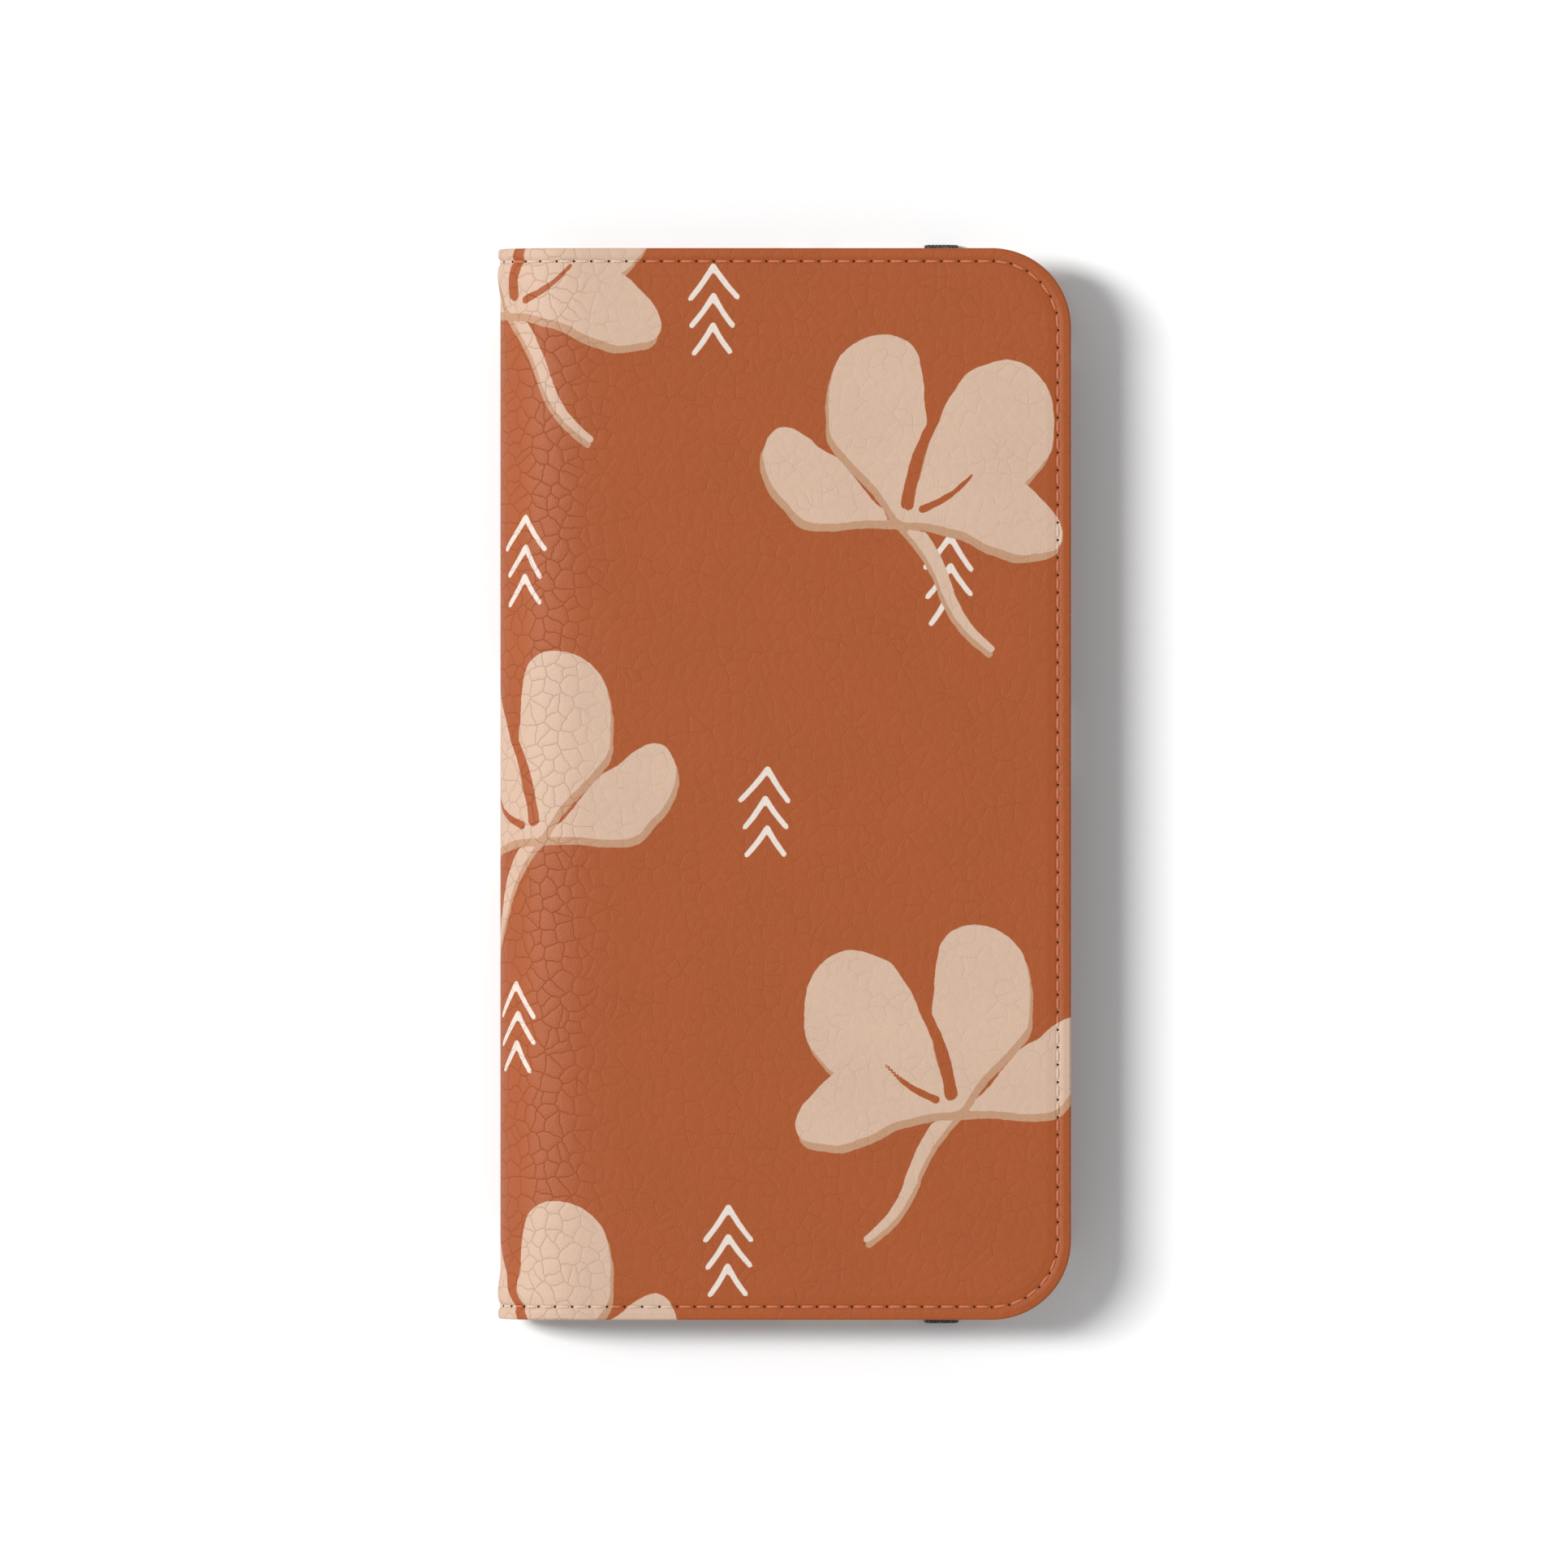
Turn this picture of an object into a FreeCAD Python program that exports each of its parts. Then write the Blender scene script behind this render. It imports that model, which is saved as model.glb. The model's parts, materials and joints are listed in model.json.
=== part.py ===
"""Folio phone case with a printed leather-look cover, closed and lying on its back.

Millimetres, +Z up.  The origin is the middle of the underside.  The spine is on the -X side,
the free edge of the cover is on the +X side, and the top end of the phone points along +Y.
"""
import FreeCAD, Part
import math
import os

Vector = FreeCAD.Vector

# ---- driving dimensions: the phone that the case fits ------------------------------------
PHONE_WIDTH = 75.7
PHONE_LENGTH = 150.9
PHONE_THICKNESS = 8.3
PHONE_CORNER_RADIUS = 10.0

# ---- driving dimensions: the closed case -------------------------------------------------
CASE_WIDTH = 84.6
CASE_LENGTH = 158.0
FREE_CORNER_RADIUS = 11.7

# ---- sheet thicknesses, from the outside of a cover to its inside -------------------------
SKIN = 0.7
BOARD = 0.8
LINING = 0.4

# ---- phone shell -------------------------------------------------------------------------
PAD = 0.5
SHELL_FLOOR = 1.2
SHELL_WALL = 1.3
SHELL_LIP_HEIGHT = 0.6
SHELL_LIP_REACH = 0.4
SHELL_OUTER_ROUNDING = 3.0
SHELL_INNER_ROUNDING = 1.8
SHELL_RIM_ROUNDING = 0.5
COVER_OVERHANG = 2.25

# ---- flexible spine: two strips between three fold lines -----------------------------------
FOLD_ANGLE = 60.0
FOLD_CLEARANCE = 0.05
SHOULDER_LENGTH = 8.2

# ---- cover construction ------------------------------------------------------------------
BOARD_INSET = 2.8
BOARD_SPINE_GAP = 5.3
LINING_INSET = 0.5

# ---- stitching ---------------------------------------------------------------------------
STITCH_INSET = 1.95
THREAD_WIDTH = 0.45
GROOVE_WIDTH = 0.6
THREAD_DEPTH = 0.25

# ---- closure elastic ---------------------------------------------------------------------
STRAP_X = 23.3
STRAP_WIDTH = 5.0
STRAP_THICKNESS = 0.43
STRAP_SLACK = 0.02
STRAP_TAIL = 10.0
CHANNEL_WIDTH = 5.3
BOARD_CHANNEL_WIDTH = 6.8
NOTCH_WIDTH = 6.8
NOTCH_LENGTH = 12.0
TACK_SIZE = (3.8, 0.9, 0.25)
TACK_INSET = 1.1

# ---- camera window, a pill through everything behind the phone ----------------------------
CAMERA_X = 31.9
CAMERA_FROM_PHONE_TOP = 16.95
CAMERA_WIDTH = 8.4
CAMERA_LENGTH = 22.8
CAMERA_COVER_MARGIN = 0.4
CAMERA_BOARD_MARGIN = 1.2

# ---- cut-outs in the shell's walls: middle along the wall, and length ----------------------
PORT_LENGTH = 38.0
VOLUME_FROM_PHONE_TOP = 42.0
VOLUME_LENGTH = 36.0
SIDE_BUTTON_FROM_PHONE_TOP = 47.5
SIDE_BUTTON_LENGTH = 15.0
CUTOUT_SILL = 2.0
CUTOUT_ROUNDING = 2.0

# ---- pockets inside the front cover --------------------------------------------------------
PANEL = 0.4
PANEL_GAP = 0.1
PANEL_LAYERS = 4
POCKET_CLEARANCE = 0.2
PANEL_HEM = 2.4
BILL_POCKET_LENGTH = 150.0
CARD_POCKET_LENGTH = 92.0
POCKET_FREE_EDGE_INSET = 4.2
BILL_POCKET_MOUTH = -32.0
CARD_POCKET_MOUTHS = {
    "card_pocket_inner": -22.0,
    "card_pocket_middle": -10.0,
    "card_pocket_outer": 2.0,
}
PANEL_CORNER_RADIUS = 3.0
POCKET_STITCH_INSET = 1.2

# ---- levels and edges worked out from the sizes above --------------------------------------
COVER = SKIN + BOARD + LINING
STRIP = SKIN + LINING
HALF_LENGTH = CASE_LENGTH / 2
FREE_EDGE = CASE_WIDTH / 2
SHELL_BOTTOM = COVER + PAD
SHELL_HEIGHT = SHELL_FLOOR + PHONE_THICKNESS + SHELL_LIP_HEIGHT
POCKET_STACK = PANEL_LAYERS * (PANEL + PANEL_GAP)
INNER_HEIGHT = PAD + SHELL_HEIGHT + POCKET_CLEARANCE + POCKET_STACK
CASE_HEIGHT = INNER_HEIGHT + 2 * COVER
FOLD_SINE = math.sin(math.radians(FOLD_ANGLE))
FOLD_COSINE = math.cos(math.radians(FOLD_ANGLE))
STRIP_LENGTH = INNER_HEIGHT / (2 * FOLD_SINE)
HINGE_X = -CASE_WIDTH / 2 + STRIP * FOLD_SINE + STRIP_LENGTH * FOLD_COSINE
SHELL_X_MAX = FREE_EDGE - COVER_OVERHANG
PHONE_X = SHELL_X_MAX - SHELL_WALL - PHONE_WIDTH / 2
SHELL_X_MIN = PHONE_X - PHONE_WIDTH / 2 - SHELL_WALL
SHELL_HALF_LENGTH = PHONE_LENGTH / 2 + SHELL_WALL
CAMERA_Y = PHONE_LENGTH / 2 - CAMERA_FROM_PHONE_TOP
POCKET_FREE_EDGE = FREE_EDGE - POCKET_FREE_EDGE_INSET
REACH_PAST = 1.0


def slab(x_min, x_max, half_length, z_min, z_max, left_radius=0.0, right_radius=0.0):
    """Flat block, symmetrical in Y, with rounded upright corners on either X end."""
    size = Vector(x_max - x_min, 2 * half_length, z_max - z_min)
    block = Part.makeBox(size.x, size.y, size.z, Vector(x_min, -half_length, z_min))
    for x, radius in ((x_min, left_radius), (x_max, right_radius)):
        if radius > 0:
            corners = [edge for edge in block.Edges if is_upright_at(edge, x)]
            block = block.makeFillet(radius, corners)
    return block


def is_upright_at(edge, x):
    """True for a straight edge along Z that stands at the given X."""
    ends = [vertex.Point for vertex in edge.Vertexes]
    if len(ends) != 2:
        return False
    along_z = abs(ends[0].x - ends[1].x) < 1e-6 and abs(ends[0].y - ends[1].y) < 1e-6
    return along_z and abs(ends[0].x - x) < 1e-6


def pill(x, y, width, length, z_min, z_max):
    """Upright prism with a long round-ended outline, its length along Y."""
    radius = width / 2
    reach = length / 2 - radius
    middle = Part.makeBox(width, 2 * reach, z_max - z_min, Vector(x - radius, y - reach, z_min))
    for end in (-reach, reach):
        middle = middle.fuse(Part.makeCylinder(radius, z_max - z_min, Vector(x, y + end, z_min)))
    return middle.removeSplitter()


def front_copy(shape):
    """The same piece on the front cover: the back cover's piece, mirrored at mid-height."""
    return shape.mirror(Vector(0, 0, CASE_HEIGHT / 2), Vector(0, 0, 1))


def cover_layer(z_min, z_max):
    """Slice of a cover's skin: flat outside, curving inwards over the shoulder at the spine.

    z_min and z_max are depths below the outer surface; the last one may be the flat level
    where the lining starts, which doesn't follow the shoulder.
    """
    shoulder_drop = COVER - STRIP
    edge = HINGE_X + FOLD_CLEARANCE
    start = HINGE_X + SHOULDER_LENGTH
    radius = (SHOULDER_LENGTH ** 2 + shoulder_drop ** 2) / (2 * shoulder_drop)

    def rise(x):
        run = start - x
        return radius - math.sqrt(radius ** 2 - run ** 2)

    def shoulder(depth):
        middle = (start + edge) / 2
        first = Vector(start, -HALF_LENGTH, depth)
        last = Vector(edge, -HALF_LENGTH, depth + rise(edge))
        return Part.Arc(first, Vector(middle, -HALF_LENGTH, depth + rise(middle)), last), last

    outer_arc, outer_end = shoulder(z_min)
    outer_start = Vector(start, -HALF_LENGTH, z_min)
    right_low = Vector(FREE_EDGE, -HALF_LENGTH, z_min)
    right_high = Vector(FREE_EDGE, -HALF_LENGTH, z_max)
    edges = [Part.LineSegment(right_low, outer_start).toShape(), outer_arc.toShape()]
    if z_max < SKIN:
        inner_arc, inner_end = shoulder(z_max)
        inner_start = Vector(start, -HALF_LENGTH, z_max)
        edges.append(Part.LineSegment(outer_end, inner_end).toShape())
        edges.append(inner_arc.toShape())
        edges.append(Part.LineSegment(inner_start, right_high).toShape())
    else:
        left_high = Vector(edge, -HALF_LENGTH, z_max)
        edges.append(Part.LineSegment(outer_end, left_high).toShape())
        edges.append(Part.LineSegment(left_high, right_high).toShape())
    edges.append(Part.LineSegment(right_high, right_low).toShape())
    profile = Part.Face(Part.Wire(Part.__sortEdges__(edges)))
    band = profile.extrude(Vector(0, CASE_LENGTH, 0))
    return band.common(cover_outline(0.0, z_min - REACH_PAST, COVER + REACH_PAST))


def cover_outline(inset, z_min, z_max):
    """Upright prism of a cover's plan: square at the spine, rounded at the free corners."""
    return slab(
        HINGE_X + FOLD_CLEARANCE,
        FREE_EDGE - inset,
        HALF_LENGTH - inset,
        z_min,
        z_max,
        right_radius=FREE_CORNER_RADIUS - inset,
    )


def stitch_path(width):
    """Upright wall of the given width along the stitch line, open at the spine."""
    outer = cover_outline(STITCH_INSET - width / 2, -REACH_PAST, COVER)
    inset = STITCH_INSET + width / 2
    inner = slab(
        HINGE_X - REACH_PAST,
        FREE_EDGE - inset,
        HALF_LENGTH - inset,
        -REACH_PAST,
        COVER,
        right_radius=FREE_CORNER_RADIUS - inset,
    )
    return outer.cut(inner)


def strap_channel(width, depth, z_min=-REACH_PAST):
    """Straight channel along Y where the closure elastic crosses the back."""
    length = CASE_LENGTH + 2 * REACH_PAST
    corner = Vector(STRAP_X - width / 2, -length / 2, z_min)
    return Part.makeBox(width, length, depth - z_min, corner)


def camera_window(margin):
    """Pill-shaped hole for the camera, larger by the margin all round."""
    return pill(
        CAMERA_X,
        CAMERA_Y,
        CAMERA_WIDTH + 2 * margin,
        CAMERA_LENGTH + 2 * margin,
        -REACH_PAST,
        SHELL_BOTTOM + SHELL_FLOOR + REACH_PAST,
    )


def cover_board():
    """Stiff board inside a cover, short of the sewn edge and of the spine."""
    return slab(
        HINGE_X + BOARD_SPINE_GAP,
        FREE_EDGE - BOARD_INSET,
        HALF_LENGTH - BOARD_INSET,
        SKIN,
        SKIN + BOARD,
        right_radius=FREE_CORNER_RADIUS - BOARD_INSET,
    )


def cover_lining():
    """Inner cloth of a cover."""
    return slab(
        HINGE_X + FOLD_CLEARANCE,
        FREE_EDGE - LINING_INSET,
        HALF_LENGTH - LINING_INSET,
        SKIN + BOARD,
        COVER,
        right_radius=FREE_CORNER_RADIUS - LINING_INSET,
    )


def back_cover():
    """Pieces of the back cover, with the phone shell and the ends of the elastic's seams."""
    channel_depth = STRAP_THICKNESS + STRAP_SLACK
    board = cover_board()
    board = board.cut(strap_channel(BOARD_CHANNEL_WIDTH, SKIN + channel_depth))
    board = board.cut(camera_window(CAMERA_BOARD_MARGIN))
    groove = cover_layer(0.0, THREAD_DEPTH).common(stitch_path(GROOVE_WIDTH))
    thread = cover_layer(0.0, THREAD_DEPTH).common(stitch_path(THREAD_WIDTH))
    skin = cover_layer(0.0, SKIN + BOARD).cut(board).cut(groove)
    skin = skin.cut(strap_channel(CHANNEL_WIDTH, channel_depth))
    skin = skin.cut(camera_window(CAMERA_COVER_MARGIN))
    return {
        "back_skin": skin,
        "back_board": board,
        "back_lining": cover_lining().cut(camera_window(CAMERA_COVER_MARGIN)),
        "adhesive_pad": adhesive_pad(),
        "phone_shell": phone_shell(),
        "back_stitching": thread.cut(strap_channel(CHANNEL_WIDTH, channel_depth)),
        "strap_tack_top": strap_tack(1),
        "strap_tack_bottom": strap_tack(-1),
    }


def adhesive_pad():
    """Thin pad that bonds the shell to the lining, notched for the elastic's tails."""
    edge = SHELL_OUTER_ROUNDING + REACH_PAST
    pad = slab(
        SHELL_X_MIN + edge,
        SHELL_X_MAX - edge,
        SHELL_HALF_LENGTH - edge,
        COVER,
        SHELL_BOTTOM,
        left_radius=PHONE_CORNER_RADIUS - edge,
        right_radius=PHONE_CORNER_RADIUS - edge,
    )
    for side in (-1, 1):
        outer_y = side * HALF_LENGTH
        inner_y = side * (HALF_LENGTH - NOTCH_LENGTH)
        corner = Vector(STRAP_X - NOTCH_WIDTH / 2, min(inner_y, outer_y), COVER - REACH_PAST)
        pad = pad.cut(Part.makeBox(NOTCH_WIDTH, NOTCH_LENGTH, PAD + 2 * REACH_PAST, corner))
    return pad.cut(camera_window(CAMERA_COVER_MARGIN))


def phone_shell():
    """Snap-in tray that grips the phone by its edges."""
    top = SHELL_BOTTOM + SHELL_HEIGHT
    lip_bottom = top - SHELL_LIP_HEIGHT
    floor_top = SHELL_BOTTOM + SHELL_FLOOR
    outer_radius = PHONE_CORNER_RADIUS + SHELL_WALL
    body = slab(
        SHELL_X_MIN, SHELL_X_MAX, SHELL_HALF_LENGTH, SHELL_BOTTOM, top,
        left_radius=outer_radius, right_radius=outer_radius,
    )
    body = body.makeFillet(SHELL_OUTER_ROUNDING, edges_at_level(body, SHELL_BOTTOM))
    body = body.makeFillet(SHELL_RIM_ROUNDING, edges_at_level(body, top))
    cavity = slab(
        PHONE_X - PHONE_WIDTH / 2, PHONE_X + PHONE_WIDTH / 2, PHONE_LENGTH / 2,
        floor_top, lip_bottom,
        left_radius=PHONE_CORNER_RADIUS, right_radius=PHONE_CORNER_RADIUS,
    )
    cavity = cavity.makeFillet(SHELL_INNER_ROUNDING, edges_at_level(cavity, floor_top))
    mouth_radius = PHONE_CORNER_RADIUS - SHELL_LIP_REACH
    mouth = slab(
        PHONE_X - PHONE_WIDTH / 2 + SHELL_LIP_REACH,
        PHONE_X + PHONE_WIDTH / 2 - SHELL_LIP_REACH,
        PHONE_LENGTH / 2 - SHELL_LIP_REACH,
        lip_bottom - REACH_PAST, top + REACH_PAST,
        left_radius=mouth_radius, right_radius=mouth_radius,
    )
    body = body.cut(cavity).cut(mouth).cut(camera_window(0.0))
    for cutout in shell_cutouts(floor_top + CUTOUT_SILL, top):
        body = body.cut(cutout)
    return body


def edges_at_level(body, z):
    """Edges that lie wholly at one height."""
    return [
        edge for edge in body.Edges
        if abs(edge.BoundBox.ZMin - z) < 1e-6 and abs(edge.BoundBox.ZMax - z) < 1e-6
    ]


def shell_cutouts(sill, top):
    """Notches through the shell's walls, open at the top, with rounded lower corners."""
    depth = 3 * SHELL_WALL
    height = top + REACH_PAST - sill
    phone_top = PHONE_LENGTH / 2
    volume_y = phone_top - VOLUME_FROM_PHONE_TOP
    button_y = phone_top - SIDE_BUTTON_FROM_PHONE_TOP
    blocks = (
        (Vector(PHONE_X - PORT_LENGTH / 2, -SHELL_HALF_LENGTH - SHELL_WALL, sill),
         Vector(PORT_LENGTH, depth, height)),
        (Vector(SHELL_X_MIN - SHELL_WALL, volume_y - VOLUME_LENGTH / 2, sill),
         Vector(depth, VOLUME_LENGTH, height)),
        (Vector(SHELL_X_MAX + SHELL_WALL - depth, button_y - SIDE_BUTTON_LENGTH / 2, sill),
         Vector(depth, SIDE_BUTTON_LENGTH, height)),
    )
    cutouts = []
    for corner, size in blocks:
        block = Part.makeBox(size.x, size.y, size.z, corner)
        across = Vector(1, 0, 0) if size.y > size.x else Vector(0, 1, 0)
        lower = [edge for edge in edges_at_level(block, sill) if runs_along(edge, across)]
        cutouts.append(block.makeFillet(CUTOUT_ROUNDING, lower))
    return cutouts


def runs_along(edge, direction):
    """True for a straight edge parallel to the direction."""
    first, last = (vertex.Point for vertex in edge.Vertexes)
    return (last - first).normalize().cross(direction).Length < 1e-6


def strap_tack(side):
    """Bar of close stitches that holds one end of the elastic to the back cover."""
    width, depth, height = TACK_SIZE
    middle = side * (HALF_LENGTH - TACK_INSET)
    level = COVER + STRAP_THICKNESS + 2 * STRAP_SLACK
    corner = Vector(STRAP_X - width / 2, middle - depth / 2, level)
    bar = Part.makeBox(width, depth, height, corner)
    return bar.makeFillet(height / 3, edges_at_level(bar, level + height))


def elastic_strap():
    """Flat elastic: across the back, up round both ends, and in over the back lining."""
    inner_end = HALF_LENGTH + STRAP_SLACK
    outer_end = inner_end + STRAP_THICKNESS
    tail_low = COVER + STRAP_SLACK
    tail_high = tail_low + STRAP_THICKNESS
    tail_end = HALF_LENGTH - STRAP_TAIL
    x = STRAP_X - STRAP_WIDTH / 2
    corners = [
        (-outer_end, 0.0), (outer_end, 0.0), (outer_end, tail_high), (tail_end, tail_high),
        (tail_end, tail_low), (inner_end, tail_low), (inner_end, STRAP_THICKNESS),
        (-inner_end, STRAP_THICKNESS), (-inner_end, tail_low), (-tail_end, tail_low),
        (-tail_end, tail_high), (-outer_end, tail_high), (-outer_end, 0.0),
    ]
    section = Part.Face(Part.makePolygon([Vector(x, y, z) for y, z in corners]))
    band = section.extrude(Vector(STRAP_WIDTH, 0, 0))
    turns = [
        edge for edge in band.Edges
        if abs(edge.BoundBox.YLength) < 1e-6 and abs(edge.BoundBox.ZLength) < 1e-6
        and abs(abs(edge.BoundBox.YMin) - outer_end) < 1e-6
    ]
    return band.makeFillet(STRAP_THICKNESS * 0.8, turns)


def spine_strips():
    """Two strips of skin and lining that bend round the phone's edge, and their fold lines."""
    folds = [(HINGE_X, COVER)]
    first = FOLD_CLEARANCE
    last = STRIP_LENGTH - FOLD_CLEARANCE
    lining_end = HALF_LENGTH - LINING_INSET
    thread_base = STRIP - THREAD_DEPTH
    nodes = {}
    for name, heading in (("spine_lower", FOLD_ANGLE), ("spine_upper", 2 * FOLD_ANGLE)):
        place = StripPlace(folds[-1], heading)
        skin = place.block(first, last, LINING, STRIP, -HALF_LENGTH, HALF_LENGTH)
        stitches = []
        for side in (-1, 1):
            line = side * (HALF_LENGTH - STITCH_INSET)
            groove = (line - GROOVE_WIDTH / 2, line + GROOVE_WIDTH / 2)
            thread = (line - THREAD_WIDTH / 2, line + THREAD_WIDTH / 2)
            skin = skin.cut(place.block(first, last, thread_base, STRIP + REACH_PAST, *groove))
            stitches.append(place.block(first, last, thread_base, STRIP, *thread))
        nodes[name + "_skin"] = skin
        nodes[name + "_lining"] = place.block(first, last, 0.0, LINING, -lining_end, lining_end)
        nodes[name + "_stitching"] = Part.makeCompound(stitches)
        folds.append(place.point(STRIP_LENGTH, 0.0))
    return nodes, folds


class StripPlace:
    """Where a spine strip lies: it starts at a fold line and heads up from the table's plane."""

    def __init__(self, start, heading):
        angle = math.radians(heading)
        self.start = start
        self.along = (-math.cos(angle), math.sin(angle))
        self.outward = (-math.sin(angle), -math.cos(angle))

    def point(self, run, height):
        """X and Z of a point so far along the strip and so far out from its inner face."""
        x = self.start[0] + run * self.along[0] + height * self.outward[0]
        z = self.start[1] + run * self.along[1] + height * self.outward[1]
        return x, z

    def block(self, run_min, run_max, low, high, y_min, y_max):
        """Straight block of the strip between two runs, two heights and two Y positions."""
        corners = [
            self.point(run_min, low), self.point(run_max, low),
            self.point(run_max, high), self.point(run_min, high),
        ]
        outline = [Vector(x, y_min, z) for x, z in corners + corners[:1]]
        return Part.Face(Part.makePolygon(outline)).extrude(Vector(0, y_max - y_min, 0))


def front_cover():
    """Pieces of the front cover, with the pockets on its inside."""
    groove = cover_layer(0.0, THREAD_DEPTH).common(stitch_path(GROOVE_WIDTH))
    thread = cover_layer(0.0, THREAD_DEPTH).common(stitch_path(THREAD_WIDTH))
    board = cover_board()
    nodes = {
        "front_skin": front_copy(cover_layer(0.0, SKIN + BOARD).cut(board).cut(groove)),
        "front_board": front_copy(board),
        "front_lining": front_copy(cover_lining()),
        "front_stitching": front_copy(thread),
    }
    nodes.update(pockets())
    return nodes


def pocket_panel(mouth, length, level):
    """Pocket panel, hemmed on three sides so that a flat gap is left behind it.

    The panel hangs from level, and its open edge, the mouth, faces the spine.
    """
    top = level
    low = level - PANEL_GAP - PANEL
    plate = slab(
        mouth, POCKET_FREE_EDGE, length / 2, low, top,
        right_radius=PANEL_CORNER_RADIUS,
    )
    gap = slab(
        mouth - REACH_PAST, POCKET_FREE_EDGE - PANEL_HEM, length / 2 - PANEL_HEM,
        top - PANEL_GAP, top + REACH_PAST,
    )
    return plate.cut(gap)


def pockets():
    """Bill pocket, three stepped card pockets, and the seams that hold them."""
    level = CASE_HEIGHT - COVER
    nodes = {"bill_pocket_panel": pocket_panel(BILL_POCKET_MOUTH, BILL_POCKET_LENGTH, level)}
    for name, mouth in CARD_POCKET_MOUTHS.items():
        level -= PANEL + PANEL_GAP
        nodes[name] = pocket_panel(mouth, CARD_POCKET_LENGTH, level)
    grooves, threads = pocket_seams(level - PANEL - PANEL_GAP)
    for name in nodes:
        nodes[name] = nodes[name].cut(grooves)
    nodes["pocket_stitching"] = threads
    return nodes


def pocket_seams(lowest):
    """Straight seams along the outer card pocket's three sewn edges."""
    half = CARD_POCKET_LENGTH / 2 - POCKET_STITCH_INSET
    mouth = CARD_POCKET_MOUTHS["card_pocket_outer"] + POCKET_STITCH_INSET
    edge = POCKET_FREE_EDGE - POCKET_STITCH_INSET - PANEL_CORNER_RADIUS
    solids = {}
    for name, width in (("groove", GROOVE_WIDTH), ("thread", THREAD_WIDTH)):
        depth = THREAD_DEPTH if name == "thread" else THREAD_DEPTH + REACH_PAST
        z_min = lowest + THREAD_DEPTH - depth
        runs = [
            Part.makeBox(edge - mouth, width, depth, Vector(mouth, side * half - width / 2, z_min))
            for side in (-1, 1)
        ]
        end_x = POCKET_FREE_EDGE - POCKET_STITCH_INSET - width / 2
        span = half - PANEL_CORNER_RADIUS
        runs.append(Part.makeBox(width, 2 * span, depth, Vector(end_x, -span, z_min)))
        solids[name] = Part.makeCompound(runs)
    return solids["groove"], solids["thread"]


def main():
    """Build every piece, check it, and write one STEP file per node."""
    os.makedirs("parts", exist_ok=True)
    strips, folds = spine_strips()
    nodes = {**back_cover(), "elastic_strap": elastic_strap(), **strips, **front_cover()}
    for name, shape in nodes.items():
        if not shape.isValid():
            raise ValueError(name + " is not a valid solid")
        shape.exportStep("parts/" + name + ".step")
        box = shape.BoundBox
        print(
            f"{name:24s} solids {len(shape.Solids)}  volume {shape.Volume:9.1f}"
            f"  x {box.XMin:7.2f} {box.XMax:7.2f}  y {box.YMin:7.2f} {box.YMax:7.2f}"
            f"  z {box.ZMin:6.2f} {box.ZMax:6.2f}"
        )
    for x, z in folds:
        print(f"fold line at x {x:.3f}, z {z:.3f}")


main()
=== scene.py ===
"""Looks of a book-style phone case: printed leather-look cover, shell, card pockets and elastic.

Lengths are millimetres up to the moment a mesh is made, and metres inside the mesh.
The cover is one sheet that wraps from the front, round the soft spine, to the back. A place on it
is (u, v): u is the length along the sheet from the middle of the spine, positive over the front,
and v is the row's Y.
"""

import json
import logging
import math
from collections.abc import Callable, Sequence
from dataclasses import dataclass, field, replace
from enum import Enum

import bpy
import numpy as np
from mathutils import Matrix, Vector
from mathutils.geometry import tessellate_polygon


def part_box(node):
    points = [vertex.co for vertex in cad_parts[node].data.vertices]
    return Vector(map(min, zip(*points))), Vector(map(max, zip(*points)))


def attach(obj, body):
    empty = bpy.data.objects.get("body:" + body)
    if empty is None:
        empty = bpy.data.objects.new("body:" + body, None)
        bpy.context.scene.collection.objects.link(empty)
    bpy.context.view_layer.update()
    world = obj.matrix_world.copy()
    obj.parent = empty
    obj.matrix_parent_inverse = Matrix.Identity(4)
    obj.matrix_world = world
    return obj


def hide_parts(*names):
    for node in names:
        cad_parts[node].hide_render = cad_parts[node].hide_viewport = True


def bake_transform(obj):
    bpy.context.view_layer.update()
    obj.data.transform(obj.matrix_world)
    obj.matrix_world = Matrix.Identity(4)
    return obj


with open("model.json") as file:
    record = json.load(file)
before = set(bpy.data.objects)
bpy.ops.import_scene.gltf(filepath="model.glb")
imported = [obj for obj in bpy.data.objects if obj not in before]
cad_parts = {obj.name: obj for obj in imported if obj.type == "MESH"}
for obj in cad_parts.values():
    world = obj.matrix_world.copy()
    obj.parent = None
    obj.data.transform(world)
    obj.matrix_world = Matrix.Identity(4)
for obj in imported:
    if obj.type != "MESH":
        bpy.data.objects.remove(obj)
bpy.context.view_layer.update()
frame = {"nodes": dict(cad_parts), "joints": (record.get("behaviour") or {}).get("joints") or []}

LOG = logging.getLogger("phone_case")
METRE = 0.001
SEED = 7
TINY = 1e-9
FAR = 3.0
GAP = 0.02


# ---- small helpers ----


def node_span(node: str) -> tuple[np.ndarray, np.ndarray]:
    """Lowest and highest corner of a CAD node in millimetres.

    Args:
        node: the CAD node's name.

    Returns:
        The two corners.
    """
    low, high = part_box(node)
    return np.array(low) / METRE, np.array(high) / METRE


def joint_place(joint: str) -> np.ndarray:
    """Where a joint's axis lies at rest, in millimetres."""
    found = next(entry for entry in frame["joints"] if entry["name"] == joint)
    return np.array(found["pos_m"], float) / METRE


def smooth_rise(value: np.ndarray | float, low: float, high: float) -> np.ndarray:
    """Smooth step from 0 at low to 1 at high.

    Args:
        value: the values to map.
        low: where the step starts.
        high: where the step ends; it may be below low, which turns the step round.

    Returns:
        The shares, from 0 to 1.
    """
    share = np.clip((np.asarray(value, float) - low) / (high - low), 0.0, 1.0)
    return share * share * (3.0 - 2.0 * share)


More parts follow.
